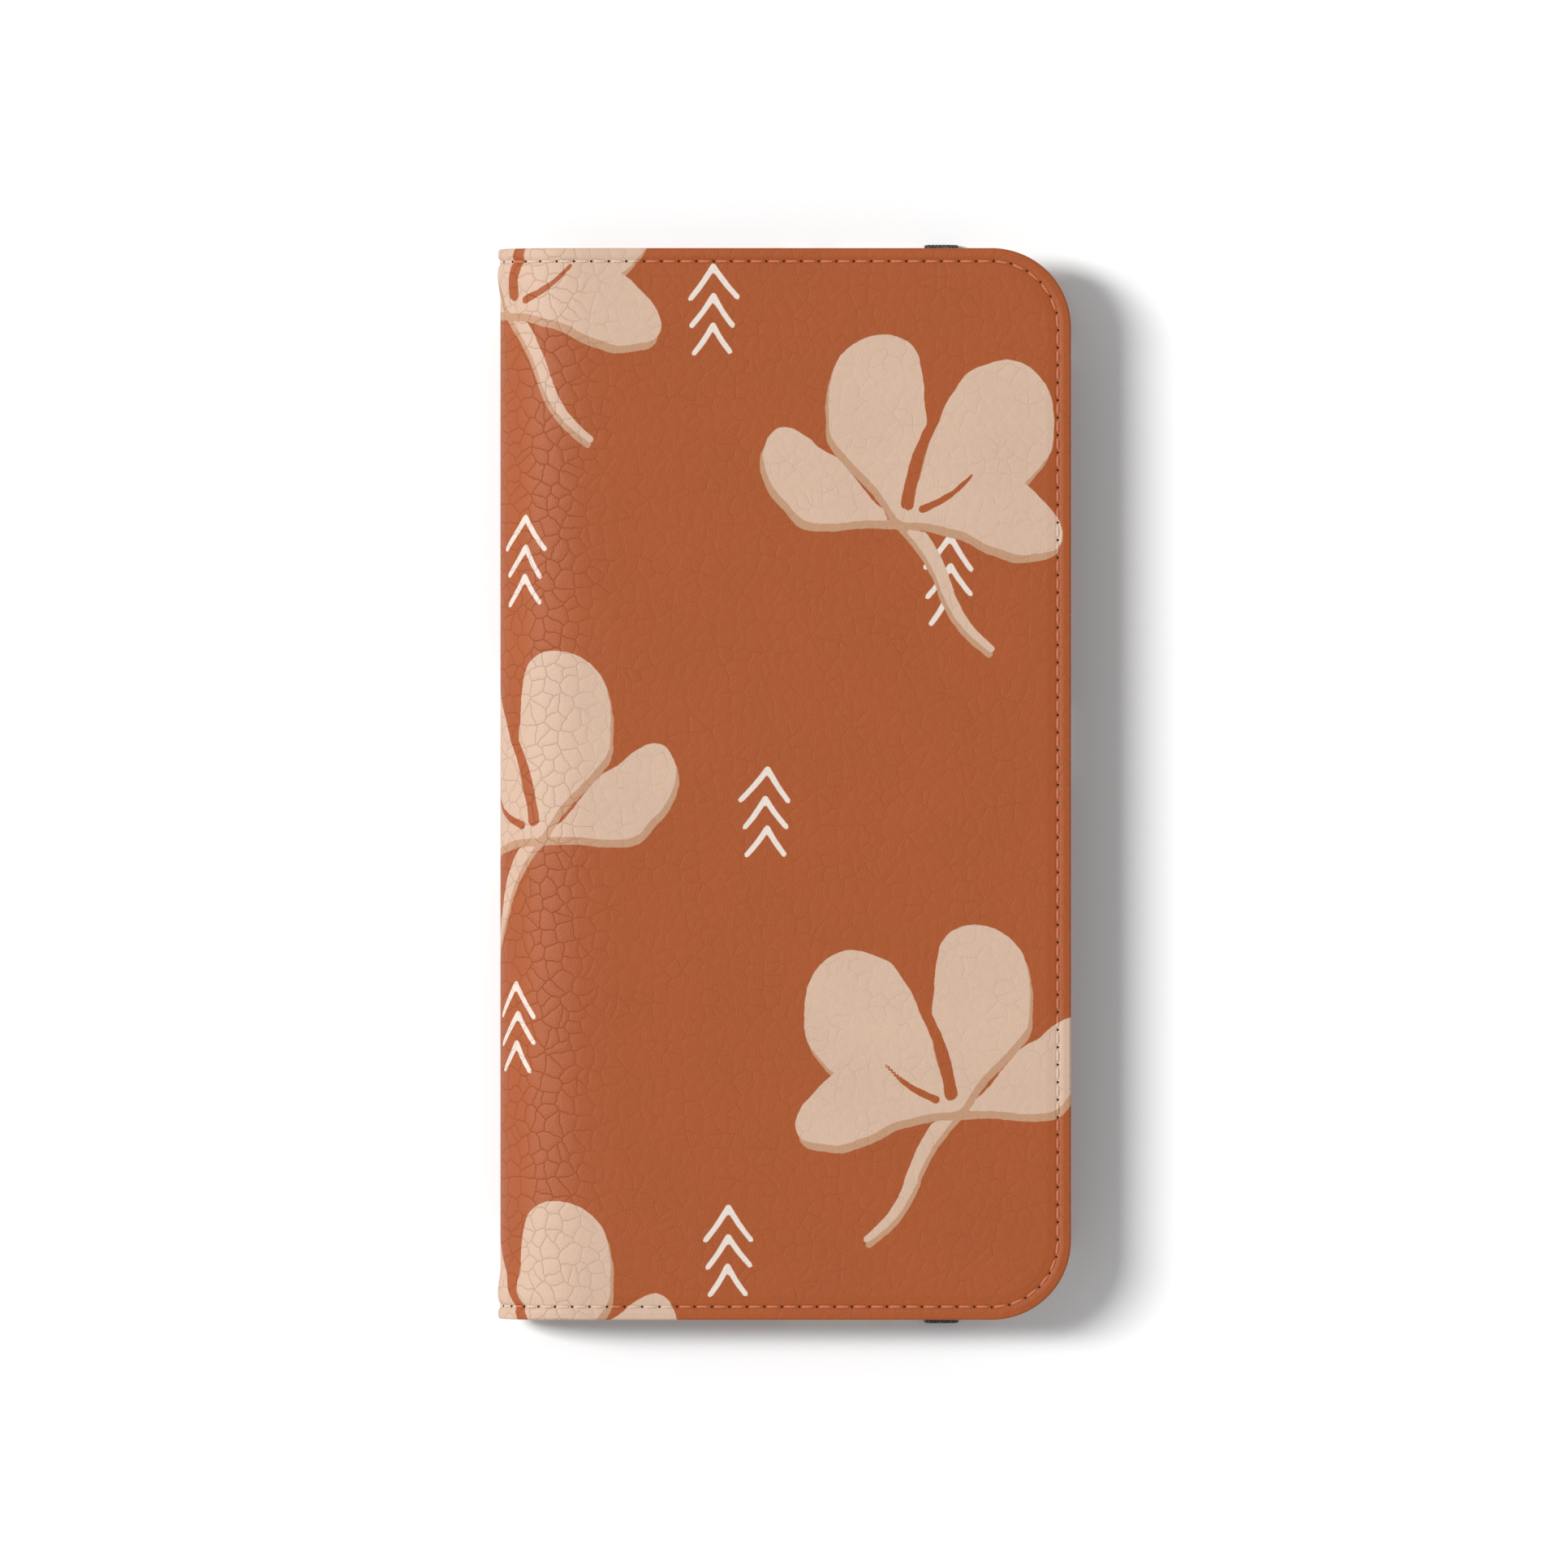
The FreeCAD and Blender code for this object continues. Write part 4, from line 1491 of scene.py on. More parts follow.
@dataclass
class NodeBench:
    """Short way to place and join shader nodes in one node tree."""

    tree: bpy.types.NodeTree

    def node(self, kind: str, settings: dict[str, object] | None = None,
             **inputs: object) -> bpy.types.Node:
        """Adds a node.

        Args:
            kind: the node's type name.
            settings: properties to set on it.
            inputs: a socket or a value for each input, by its name with spaces as underscores,
                or by i and its number.

        Returns:
            The node.
        """
        made = self.tree.nodes.new(kind)
        for key, value in (settings or {}).items():
            setattr(made, key, value)
        for key, value in inputs.items():
            label = int(key[1:]) if key[0] == "i" and key[1:].isdigit() else key.replace("_", " ")
            socket = made.inputs[label]
            if isinstance(value, Socket):
                self.tree.links.new(value, socket)
            else:
                socket.default_value = value
        return made

    def math(self, operation: str, first: object, second: object = 0.0,
             third: object = 0.0) -> Socket:
        """Adds a Math node and returns its output."""
        return self.node("ShaderNodeMath", {"operation": operation},
                         i0=first, i1=second, i2=third).outputs[0]

    def times(self, first: object, second: object) -> Socket:
        """Product of two values."""
        return self.math("MULTIPLY", first, second)

    def fit(self, value: object, factor: object, base: object) -> Socket:
        """Value times factor, plus base."""
        return self.math("MULTIPLY_ADD", value, factor, base)

    def vector(self, operation: str, **inputs: object) -> Socket:
        """Adds a Vector Math node and returns its output."""
        return self.node("ShaderNodeVectorMath", {"operation": operation}, **inputs).outputs[0]

    def rise(self, value: Socket, low: float, high: float) -> Socket:
        """Smooth step of a value from 0 at low to 1 at high."""
        return self.node("ShaderNodeMapRange", {"interpolation_type": "SMOOTHSTEP"},
                         Value=value, From_Min=low, From_Max=high).outputs[0]

    def mix(self, share: object, first: object, second: object, blend: str = "MIX") -> Socket:
        """Mixes two colours."""
        return self.node("ShaderNodeMix", {"data_type": "RGBA", "blend_type": blend},
                         i0=share, i6=first, i7=second).outputs[2]

    def shaded(self, base: Socket, shade: Socket) -> Socket:
        """A colour darkened by a grey of the given value."""
        grey = self.node("ShaderNodeCombineColor", {}, Red=shade, Green=shade, Blue=shade)
        return self.mix(1.0, base, grey.outputs[0], "MULTIPLY")

    def noise(self, place: Socket, size: float, detail: float = 2.0,
              roughness: float = 0.5) -> Socket:
        """Noise whose features are about size millimetres across, on a place in millimetres."""
        return self.node("ShaderNodeTexNoise", {}, Vector=place, Scale=1.0 / size,
                         Detail=detail, Roughness=roughness).outputs["Fac"]

    def value(self, name: str) -> Socket:
        """A scalar vertex value."""
        return self.node("ShaderNodeAttribute", {"attribute_name": name}).outputs["Fac"]

    def sheet_place(self) -> Socket:
        """The place on the rolled-out sheet, in millimetres."""
        made = self.node("ShaderNodeAttribute", {"attribute_name": "sheet_place"})
        return self.vector("SCALE", i0=made.outputs["Vector"], Scale=1.0 / METRE)

    def object_place(self) -> Socket:
        """The place on a piece without a sheet, in millimetres."""
        made = self.node("ShaderNodeTexCoord")
        return self.vector("SCALE", i0=made.outputs["Object"], Scale=1.0 / METRE)

    def group(self, tree: bpy.types.NodeTree, **inputs: object) -> bpy.types.bpy_prop_collection:
        """Places a node group.

        Args:
            tree: the group.
            inputs: its inputs by name, spaces as underscores.

        Returns:
            The group's outputs.
        """
        return self.node("ShaderNodeGroup", {"node_tree": tree}, **inputs).outputs


@dataclass
class GroupMaker:
    """Starts a shader node group with named inputs and outputs."""

    name: str
    inputs: dict[str, tuple[str, object]]
    outputs: dict[str, str]

    def __post_init__(self) -> None:
        """Makes the tree and its sockets."""
        self.tree = bpy.data.node_groups.new(self.name, "ShaderNodeTree")
        for label, (kind, default) in self.inputs.items():
            socket = self.tree.interface.new_socket(label, in_out="INPUT", socket_type=kind)
            if default is not None:
                socket.default_value = default
        for label, kind in self.outputs.items():
            self.tree.interface.new_socket(label, in_out="OUTPUT", socket_type=kind)
        self.bench = NodeBench(self.tree)
        self.given = self.tree.nodes.new("NodeGroupInput").outputs
        self.result = self.tree.nodes.new("NodeGroupOutput").inputs

    def put(self, **results: Socket) -> bpy.types.NodeTree:
        """Joins the results to the group's outputs and returns the tree.

        Args:
            results: sockets by output name, spaces as underscores.

        Returns:
            The group's tree.
        """
        for label, socket in results.items():
            self.tree.links.new(socket, self.result[label.replace("_", " ")])
        return self.tree


NUMBER, VECTOR, COLOUR = "NodeSocketFloat", "NodeSocketVector", "NodeSocketColor"


def make_grain_group() -> bpy.types.NodeTree:
    """Leather grain: fine grain all over, and pebbles with creases where the sheet bends.

    Returns:
        A group that puts out a height in millimetres, a crease mask and a tone from 0 to 1.
    """
    maker = GroupMaker(
        "leather_grain",
        {"Place": (VECTOR, None), "Pebble Size": (NUMBER, 2.4), "Creases": (NUMBER, 0.3),
         "Grain": (NUMBER, 1.0)},
        {"Height": NUMBER, "Crease": NUMBER, "Tone": NUMBER},
    )
    bench, given = maker.bench, maker.given
    drift = bench.noise(given["Place"], 2.6, 3.0).node.outputs["Color"]
    pushed = bench.vector("MULTIPLY_ADD", i0=drift, i1=(1.7, 1.7, 0.0), i2=given["Place"])
    per_size = bench.math("DIVIDE", 1.0, given["Pebble Size"])
    edge = {"feature": "DISTANCE_TO_EDGE", "voronoi_dimensions": "2D"}
    pebbles, cells = (bench.node("ShaderNodeTexVoronoi", edge, Vector=pushed,
                                 Scale=scale).outputs["Distance"] for scale in (per_size, 1.9))
    broken = bench.rise(bench.noise(given["Place"], 5.0, 2.0), 0.42, 0.62)
    open_crease = bench.math("MAXIMUM", broken, bench.rise(given["Creases"], 0.25, 0.8))
    width = bench.rise(pebbles, 0.0, 0.05)
    crease = bench.times(bench.math("SUBTRACT", 1.0, width), given["Creases"])
    crease = bench.times(crease, open_crease)
    dome = bench.times(bench.rise(pebbles, 0.0, 0.3), given["Creases"])
    fine = bench.noise(given["Place"], 0.32, 3.0, 0.6)
    small = bench.rise(cells, 0.0, 0.22)
    relief = bench.fit(dome, 0.045, bench.times(crease, -0.07))
    texture = bench.fit(small, 0.011, bench.times(fine, 0.016))
    height = bench.fit(texture, given["Grain"], relief)
    mottle = bench.noise(given["Place"], 1.1, 4.0, 0.65)
    patches = bench.noise(given["Place"], 14.0, 2.0)
    tone = bench.fit(patches, 0.5, bench.times(mottle, 0.5))
    return maker.put(Height=height, Crease=crease, Tone=tone)


def make_print_group() -> bpy.types.NodeTree:
    """Three printed tones over a ground colour.

    Returns:
        A group that puts out the colour and a mask of where there is print.
    """
    maker = GroupMaker(
        "floral_print",
        {"Place": (VECTOR, None), "Ground": (COLOUR, None), "Cream": (COLOUR, None),
         "Tan": (COLOUR, None), "Line": (COLOUR, None)},
        {"Color": COLOUR, "Inked": NUMBER},
    )
    bench, given = maker.bench, maker.given
    brush = bench.noise(given["Place"], 1.6, 3.0)
    wander = bench.fit(brush, 0.36, -0.18)

    def inked(name: str, follow: float) -> Socket:
        """Mask of one tone, with a brushed outline."""
        moved = bench.fit(wander, follow, bench.value(name))
        return bench.rise(moved, -0.07, 0.07)

    line, tan, cream = inked("print_line", 0.35), inked("print_tan", 1.0), inked("print_cream", 1.0)
    painted = bench.mix(line, given["Ground"], given["Line"])
    painted = bench.mix(tan, painted, given["Tan"])
    painted = bench.mix(cream, painted, given["Cream"])
    mask = bench.math("MAXIMUM", line, bench.math("MAXIMUM", tan, cream))
    return maker.put(Color=painted, Inked=mask)


def make_wear_group() -> bpy.types.NodeTree:
    """Rubbed rims: a broken-up mask along the edges of a sheet.

    Returns:
        A group that puts out the mask.
    """
    maker = GroupMaker(
        "edge_wear",
        {"Place": (VECTOR, None), "Rim": (NUMBER, 0.0), "Amount": (NUMBER, 0.5)},
        {"Mask": NUMBER},
    )
    bench, given = maker.bench, maker.given
    speckle = bench.noise(given["Place"], 0.9, 4.0, 0.7)
    broken = bench.rise(speckle, 0.3, 0.7)
    mask = bench.times(bench.times(given["Rim"], given["Amount"]),
                      bench.fit(broken, 0.5, 0.5))
    return maker.put(Mask=mask)


def make_fibre_group() -> bpy.types.NodeTree:
    """Fine fibres and dust, for cloth, board and foam.

    Returns:
        A group that puts out a height and a tone from 0 to 1.
    """
    maker = GroupMaker(
        "fibres",
        {"Place": (VECTOR, None), "Size": (NUMBER, 0.3), "Stretch": (NUMBER, 1.0)},
        {"Height": NUMBER, "Tone": NUMBER},
    )
    bench, given = maker.bench, maker.given
    per_size = bench.math("DIVIDE", 1.0, given["Size"])
    squeezed = bench.node("ShaderNodeCombineXYZ", {}, X=1.0, Y=given["Stretch"], Z=1.0).outputs[0]
    stretched = bench.vector("MULTIPLY", i0=given["Place"], i1=squeezed)
    fuzz = bench.node("ShaderNodeTexNoise", {}, Vector=stretched, Scale=per_size, Detail=4.0,
                      Roughness=0.65)
    cloud = bench.noise(given["Place"], 9.0, 3.0)
    tone = bench.fit(cloud, 0.45, bench.times(fuzz.outputs["Fac"], 0.55))
    return maker.put(Height=fuzz.outputs["Fac"], Tone=tone)


def new_material(name: str) -> tuple[bpy.types.Material, NodeBench, bpy.types.Node]:
    """A new material with its node bench and its Principled shader.

    Args:
        name: the material's name.

    Returns:
        The material, its bench and its shader.
    """
    material = bpy.data.materials.new(name)
    material.use_nodes = True
    shader = next(n for n in material.node_tree.nodes if n.type == "BSDF_PRINCIPLED")
    return material, NodeBench(material.node_tree), shader


@dataclass
class FinishKit:
    """The node groups that the finishes share, each built once."""

    def __post_init__(self) -> None:
        """Builds the groups."""
        self.grain = make_grain_group()
        self.print = make_print_group()
        self.wear = make_wear_group()
        self.fibre = make_fibre_group()


def wire(bench: NodeBench, shader: bpy.types.Node, base: Socket, roughness: Socket,
         height: Socket, depth: float) -> None:
    """Joins colour, roughness and relief to a Principled shader.

    Args:
        bench: the material's node bench.
        shader: the Principled shader.
        base: the colour.
        roughness: the roughness.
        height: the relief.
        depth: metres that one unit of height stands for.
    """
    relief = bench.node("ShaderNodeBump", {}, Height=height, Distance=depth, Strength=1.0)
    bench.tree.links.new(base, shader.inputs["Base Color"])
    bench.tree.links.new(roughness, shader.inputs["Roughness"])
    bench.tree.links.new(relief.outputs["Normal"], shader.inputs["Normal"])


@dataclass(frozen=True)
class PrintedLeather:
    """Satin leather-look sheet with the floral print."""

    ground: Colour = colour(153, 76, 34)
    cream: Colour = colour(194, 165, 144)
    tan: Colour = colour(175, 135, 106)
    line: Colour = colour(211, 199, 188)
    worn: Colour = colour(182, 100, 60)
    # painted shade: colour that the creases are darkened towards
    crease_shade_colour: Colour = colour(118, 50, 22)
    # painted highlight: pale tone of the pebble tops across the bend
    bend_highlight_colour: Colour = colour(226, 166, 138)
    pebble: float = 2.3
    creases_flat: float = 0.34
    creases_bent: float = 0.42
    wear: float = 0.35
    wear_share: float = 0.8
    darkest: float = 0.89
    mottle: float = 0.22
    crease_shade: float = 0.36
    crease_shade_lost_in_print: float = 0.14
    # share of the painted highlight on the bend's pebble tops
    stretch: float = 0.03
    roughness: float = 0.44
    reflection: float = 0.2

    def build(self, kit: FinishKit) -> bpy.types.Material:
        """Builds the material.

        Args:
            kit: the shared node groups.

        Returns:
            The new material.
        """
        material, bench, shader = new_material("printed_leather")
        place = bench.sheet_place()
        bend = bench.value("bend_wear_and_sheen")
        creases = bench.fit(bend, self.creases_bent, self.creases_flat)
        grain = bench.group(kit.grain, Place=place, Pebble_Size=self.pebble, Creases=creases,
                            Grain=1.0)
        painted = bench.group(kit.print, Place=place, Ground=self.ground, Cream=self.cream,
                              Tan=self.tan, Line=self.line)
        wear = bench.group(kit.wear, Place=place, Rim=bench.value("rim_wear"), Amount=self.wear)
        base = bench.shaded(painted["Color"], bench.fit(grain["Tone"], self.mottle, self.darkest))
        rubbed = bench.mix(wear["Mask"], base, self.worn, "LIGHTEN")
        base = bench.mix(bench.times(wear["Mask"], self.wear_share), base, rubbed)
        # painted shade: creases are darkened towards crease_shade_colour, less where the print lies
        # over them
        crease_shade_share = bench.fit(painted["Inked"], -self.crease_shade_lost_in_print, self.crease_shade)
        base = bench.mix(bench.times(grain["Crease"], crease_shade_share), base, self.crease_shade_colour)
        # painted highlight: across the bend, pebble tops are paled a little towards
        # bend_highlight_colour; the bend mask also sets how creased the leather is
        stretched = bench.times(bend, bench.fit(grain["Crease"], -self.stretch, self.stretch))
        base = bench.mix(stretched, base, self.bend_highlight_colour)
        gloss = bench.fit(grain["Crease"], 0.2, bench.fit(grain["Tone"], 0.12, self.roughness))
        wire(bench, shader, base, gloss, grain["Height"], METRE)
        shader.inputs["Specular IOR Level"].default_value = self.reflection
        return material


@dataclass(frozen=True)
class PlainLeather:
    """Plain leather-look sheet of the pockets."""

    light: Colour = colour(150, 80, 46)
    dark: Colour = colour(122, 60, 33)
    worn: Colour = colour(186, 112, 74)
    pebble: float = 1.7
    creases: float = 0.28
    grain: float = 1.1
    wear: float = 0.7
    roughness: float = 0.46

    def build(self, kit: FinishKit) -> bpy.types.Material:
        """Builds the material.

        Args:
            kit: the shared node groups.

        Returns:
            The new material.
        """
        material, bench, shader = new_material("pocket_leather")
        place = bench.sheet_place()
        grain = bench.group(kit.grain, Place=place, Pebble_Size=self.pebble, Creases=self.creases,
                            Grain=self.grain)
        wear = bench.group(kit.wear, Place=place, Rim=bench.value("rim_wear"), Amount=self.wear)
        base = bench.mix(grain["Tone"], self.dark, self.light)
        base = bench.mix(wear["Mask"], base, self.worn)
        gloss = bench.fit(grain["Tone"], 0.14, self.roughness)
        wire(bench, shader, base, gloss, grain["Height"], METRE)
        return material


@dataclass(frozen=True)
class Microfibre:
    """Matt microfibre of the lining."""

    light: Colour = colour(138, 92, 62)
    dark: Colour = colour(108, 68, 44)
    fibre: float = 0.28
    stretch: float = 0.55
    wear: float = 0.5
    roughness: float = 0.82
    relief: float = 0.05
    sheen: float = 0.25
    sheen_roughness: float = 0.5

    def build(self, kit: FinishKit) -> bpy.types.Material:
        """Builds the material.

        Args:
            kit: the shared node groups.

        Returns:
            The new material.
        """
        material, bench, shader = new_material("microfibre_lining")
        place = bench.sheet_place()
        fibre = bench.group(kit.fibre, Place=place, Size=self.fibre, Stretch=self.stretch)
        wear = bench.group(kit.wear, Place=place, Rim=bench.value("rim_wear"), Amount=self.wear)
        base = bench.mix(fibre["Tone"], self.dark, self.light)
        base = bench.mix(wear["Mask"], base, self.light)
        rough = bench.fit(fibre["Tone"], 0.12, self.roughness)
        wire(bench, shader, base, rough, fibre["Height"], self.relief * METRE)
        shader.inputs["Sheen Weight"].default_value = self.sheen
        shader.inputs["Sheen Roughness"].default_value = self.sheen_roughness
        return material


@dataclass(frozen=True)
class SewingThread:
    """Twisted, waxed thread; where it crosses the print it takes the print's colours."""

    name: str = "seam_thread"
    ground: Colour = colour(190, 108, 70)
    cream: Colour = colour(214, 186, 166)
    tan: Colour = colour(190, 146, 116)
    line: Colour = colour(222, 208, 196)
    twists: float = 9.0
    fibre: float = 0.12
    darkest: float = 0.62
    roughness: float = 0.52
    relief: float = 0.05

    def build(self, kit: FinishKit) -> bpy.types.Material:
        """Builds the material.

        Args:
            kit: the shared node groups.

        Returns:
            The new material.
        """
        material, bench, shader = new_material(self.name)
        place = bench.sheet_place()
        twist = bench.fit(bench.value("thread_run"), self.twists, bench.value("thread_turn"))
        strand = bench.math("ABSOLUTE", bench.math("SINE", twist))
        painted = bench.group(kit.print, Place=place, Ground=self.ground, Cream=self.cream,
                              Tan=self.tan, Line=self.line)
        fibre = bench.group(kit.fibre, Place=place, Size=self.fibre, Stretch=1.0)
        # painted shade: the thread is darker in the grooves between its twists; the fibre tone
        # varies it at random
        shade = bench.fit(fibre["Tone"], 0.22, bench.fit(strand, 0.3, self.darkest))
        base = bench.shaded(painted["Color"], shade)
        rough = bench.fit(fibre["Tone"], 0.15, self.roughness)
        wire(bench, shader, base, rough, strand, self.relief * METRE)
        return material


@dataclass(frozen=True)
class WovenElastic:
    """Woven heather elastic: cross ribs, lengthwise rubber cords and flecked yarn."""

    light: Colour = colour(112, 111, 116)
    dark: Colour = colour(33, 32, 36)
    weft_pitch: float = 0.62
    warp_pitch: float = 0.56
    fleck: float = 0.22
    roughness: float = 0.85
    relief: float = 0.05

    def build(self, kit: FinishKit) -> bpy.types.Material:
        """Builds the material.

        Args:
            kit: the shared node groups.

        Returns:
            The new material.
        """
        material, bench, shader = new_material("woven_elastic")
        place = bench.sheet_place()
        parts = bench.node("ShaderNodeSeparateXYZ", {}, Vector=place).outputs
        weft, warp = (bench.math("SINE", bench.times(parts[way], 2 * math.pi / pitch))
                      for way, pitch in (("Y", self.weft_pitch), ("X", self.warp_pitch)))
        weave = bench.times(weft, warp)
        fleck = bench.noise(place, self.fleck, 2.0, 0.7)
        yarn = bench.rise(bench.fit(weave, 0.12, fleck), 0.45, 0.72)
        base = bench.mix(yarn, self.dark, self.light)
        height = bench.fit(bench.math("ABSOLUTE", warp), 0.4, weave)
        rough = bench.fit(yarn, -0.1, self.roughness)
        wire(bench, shader, base, rough, height, self.relief * METRE)
        return material


@dataclass(frozen=True)
class SatinPlastic:
    """Dark satin moulded plastic of the phone shell."""

    light: Colour = colour(45, 43, 43)
    dark: Colour = colour(37, 36, 36)
    spark: float = 0.18
    scuff: float = 7.0
    roughness: float = 0.38
    relief: float = 0.012

    def build(self) -> bpy.types.Material:
        """Builds the material.

        Returns:
            The new material.
        """
        material, bench, shader = new_material("satin_plastic")
        place = bench.object_place()
        spark = bench.noise(place, self.spark, 3.0, 0.7)
        scuff = bench.noise(place, self.scuff, 4.0, 0.7)
        base = bench.mix(bench.rise(scuff, 0.35, 0.7), self.dark, self.light)
        rough = bench.fit(scuff, 0.08, bench.fit(spark, 0.08, self.roughness))
        wire(bench, shader, base, rough, spark, self.relief * METRE)
        return material


@dataclass(frozen=True)
class Fibrous:
    """Grey board, foam, or the painted shade of a needle hole: a mottled, fibrous matt finish."""

    name: str
    light: Colour
    dark: Colour
    size: float
    relief: float
    on_sheet: bool = False
    roughness: float = 0.85

    def build(self, kit: FinishKit) -> bpy.types.Material:
        """Builds the material.

        Args:
            kit: the shared node groups.

        Returns:
            The new material.
        """
        material, bench, shader = new_material(self.name)
        place = bench.sheet_place() if self.on_sheet else bench.object_place()
        fibre = bench.group(kit.fibre, Place=place, Size=self.size, Stretch=1.0)
        base = bench.mix(fibre["Tone"], self.dark, self.light)
        rough = bench.fit(fibre["Tone"], 0.1, self.roughness)
        wire(bench, shader, base, rough, fibre["Height"], self.relief * METRE)
        return material


# ---- sub-assemblies ----


def report(piece: bpy.types.Object) -> None:
    """Logs a finished piece."""
    LOG.info("%s: %d faces", piece.name, len(piece.data.polygons))


def stand_for(piece: bpy.types.Object, slot: str, *nodes: str) -> None:
    """Hides the CAD nodes that a piece stands for, and reports the piece.

    Args:
        piece: the finished piece.
        slot: not used.
        nodes: the CAD nodes that it takes the place of.
    """
    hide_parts(*nodes)
    report(piece)


@dataclass
class FoldBlend:
    """One fold line of the spine and the bodies on either side of it."""

    below: str
    above: str
    joint: str
    heading: float
    reach: float

    def apply(self, piece: bpy.types.Object) -> None:
        """Bakes a piece's transform into its mesh; the fold's place is looked up but not used.

        Args:
            piece: the finished piece.
        """
        fold = joint_place(self.joint)
        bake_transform(piece)


@dataclass
class WrapCover:
    """The printed skin, the lining and the seam that wrap from cover to cover."""

    sizes: CaseSizes
    section: CoverSection
    kit: FinishKit
    art: SheetPrint = field(default_factory=SheetPrint)
    skin_step: float = 0.42
    lining_step: float = 1.0
    opening: CameraWindow = CameraWindow(31.9, 58.5, 4.2, 11.4)
    skin_margin: float = 0.75
    lining_margin: float = 0.55
    channel_margin: float = 0.15
    covers: tuple[str, ...] = ("back_cover", "spine", "front_cover")
    # painted shade: near-black material of the discs that show the needle holes
    needle_hole_shade: Fibrous = Fibrous("needle_hole_shade", colour(46, 17, 10), colour(20, 7, 4), 0.1, 0.02,
                                   on_sheet=True)
    folds: tuple[FoldBlend, ...] = (
        FoldBlend("back_cover", "spine_lower", "cover_opening", 150.0, 2.6),
        FoldBlend("spine_lower", "spine_upper", "spine_fold", 90.0, 2.6),
        FoldBlend("spine_upper", "front_cover", "front_fold", 30.0, 2.6),
    )

    def build(self) -> None:
        """Builds the pieces of both sheets and the seam."""
        sizes = self.sizes
        strap_low, strap_high = node_span("elastic_strap")
        channel = (float(strap_low[0]) - self.channel_margin,
                   float(strap_high[0]) + self.channel_margin)
        skin_rim = RimShape(radius=sizes.corner_radius, rounding=0.38, fine_band=3.7, hem=2.3,
                            groove=0.15, bead=0.07, fall=0.1, fine_step=0.16)
        lining_rim = RimShape(radius=sizes.corner_radius - sizes.lining_inset, rounding=0.16,
                              fine_band=3.2, hem=1.2)
        skin = WrappedSheet(Layer.SKIN, self.section, skin_rim, self.skin_step, 0.0,
                            self.opening.widened(self.skin_margin), channel, art=self.art)
        lining = WrappedSheet(Layer.LINING, self.section, lining_rim, self.lining_step,
                              sizes.lining_inset, self.opening.widened(self.lining_margin))
        leather = PrintedLeather().build(self.kit)
        microfibre = Microfibre().build(self.kit)
        for sheet, label, material, slot, part in (
                (skin, "leather", leather, "printed_skin", "skin"),
                (lining, "lining", microfibre, "lining", "lining")):
            stops = (0, sheet.split_low, sheet.split_high, len(sheet.lines_u.base) - 1)
            for k, cover in enumerate(self.covers):
                piece = sheet.piece(f"{cover}_{label}", stops[k], stops[k + 1], material)
                self._finish(piece, k, slot, part)
        self._sew(skin.split)

    def _sew(self, split: float) -> None:
        """Builds the seam in the same three parts as the sheets.

        Args:
            split: the u at which the back cover's part ends.
        """
        seam = SheetSeam(self.section, self.art)
        materials = (SewingThread().build(self.kit), self.needle_hole_shade.build(self.kit))
        stops = (-math.inf, -split, split, math.inf)
        for k, cover in enumerate(self.covers):
            piece = seam.piece(f"{cover}_seam", stops[k], stops[k + 1], materials)
            self._finish(piece, k, "thread", "stitching")

    def _finish(self, piece: bpy.types.Object, k: int, slot: str, part: str) -> None:
        """Bakes a piece's transform and lets it stand for its CAD nodes.

        Args:
            piece: the finished piece.
            k: 0 for the back cover, 1 for the spine and 2 for the front cover.
            slot: the CAD material slot of its finish.
            part: the last word of its CAD nodes' names.
        """
        self.folds[k].apply(piece)
        bodies = (("back",), ("spine_lower", "spine_upper"), ("front",))[k]
        stand_for(piece, slot, *(f"{body}_{part}" for body in bodies))


@dataclass
class Pockets:
    """The bill pocket and the three card pockets inside the front cover, with their seam."""

    kit: FinishKit
    mouth_radius: float = 0.8
    edge_radius: float = 3.0
    rounding: float = 0.17
    hem: float = 2.6
    press: float = 0.06
    clearance: float = 0.03
    seam_inset: float = 1.2
    seam_corner: float = 1.8
    seam_level: float = 0.02
    pitch: float = 2.4
    stitch: StitchForm = StitchForm(length=1.8, radius=0.2, rise=0.06, dip=0.24)

    def build(self) -> None:
        """Builds the panels and the seam along the outer card pocket."""
        leather = PlainLeather().build(self.kit)
        for node in ("bill_pocket_panel", "card_pocket_inner", "card_pocket_middle",
                     "card_pocket_outer"):
            low, high = node_span(node)
            outline = PanelOutline((low[0], low[1]), (high[0], high[1]), self.mouth_radius,
                                   self.edge_radius)
            profile = rim_profile(float(low[2]), float(high[2]) - self.clearance,
                                  self.rounding, self.hem, self.press)
            piece = lofted_panel(f"{node}_leather", outline, profile, leather)
            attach(piece, "front_cover")
            stand_for(piece, "pocket", node)
        self._sew()

    def _sew(self) -> None:
        """Sews the card pockets along their three closed edges."""
        low, high = node_span("card_pocket_outer")
        side = high[1] - self.seam_inset
        edge = high[0] - self.seam_inset
        mouth = low[0] + self.seam_inset
        level = low[2] + self.seam_level
        cut = self.seam_corner
        corners = np.array([(mouth, side, level), (edge - cut, side, level),
                            (edge, side - cut, level), (edge, cut - side, level),
                            (edge - cut, -side, level), (mouth, -side, level)])
        draft = MeshDraft()
        down = np.array([0.0, 0.0, -1.0])
        for start, end in zip(corners[:-1], corners[1:], strict=True):
            straight_seam(draft, start, end, down, self.pitch, self.stitch)
        thread = SewingThread("pocket_thread").build(self.kit)
        piece = draft.build("pocket_seam", [thread])
        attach(piece, "front_cover")
        stand_for(piece, "thread", "pocket_stitching")


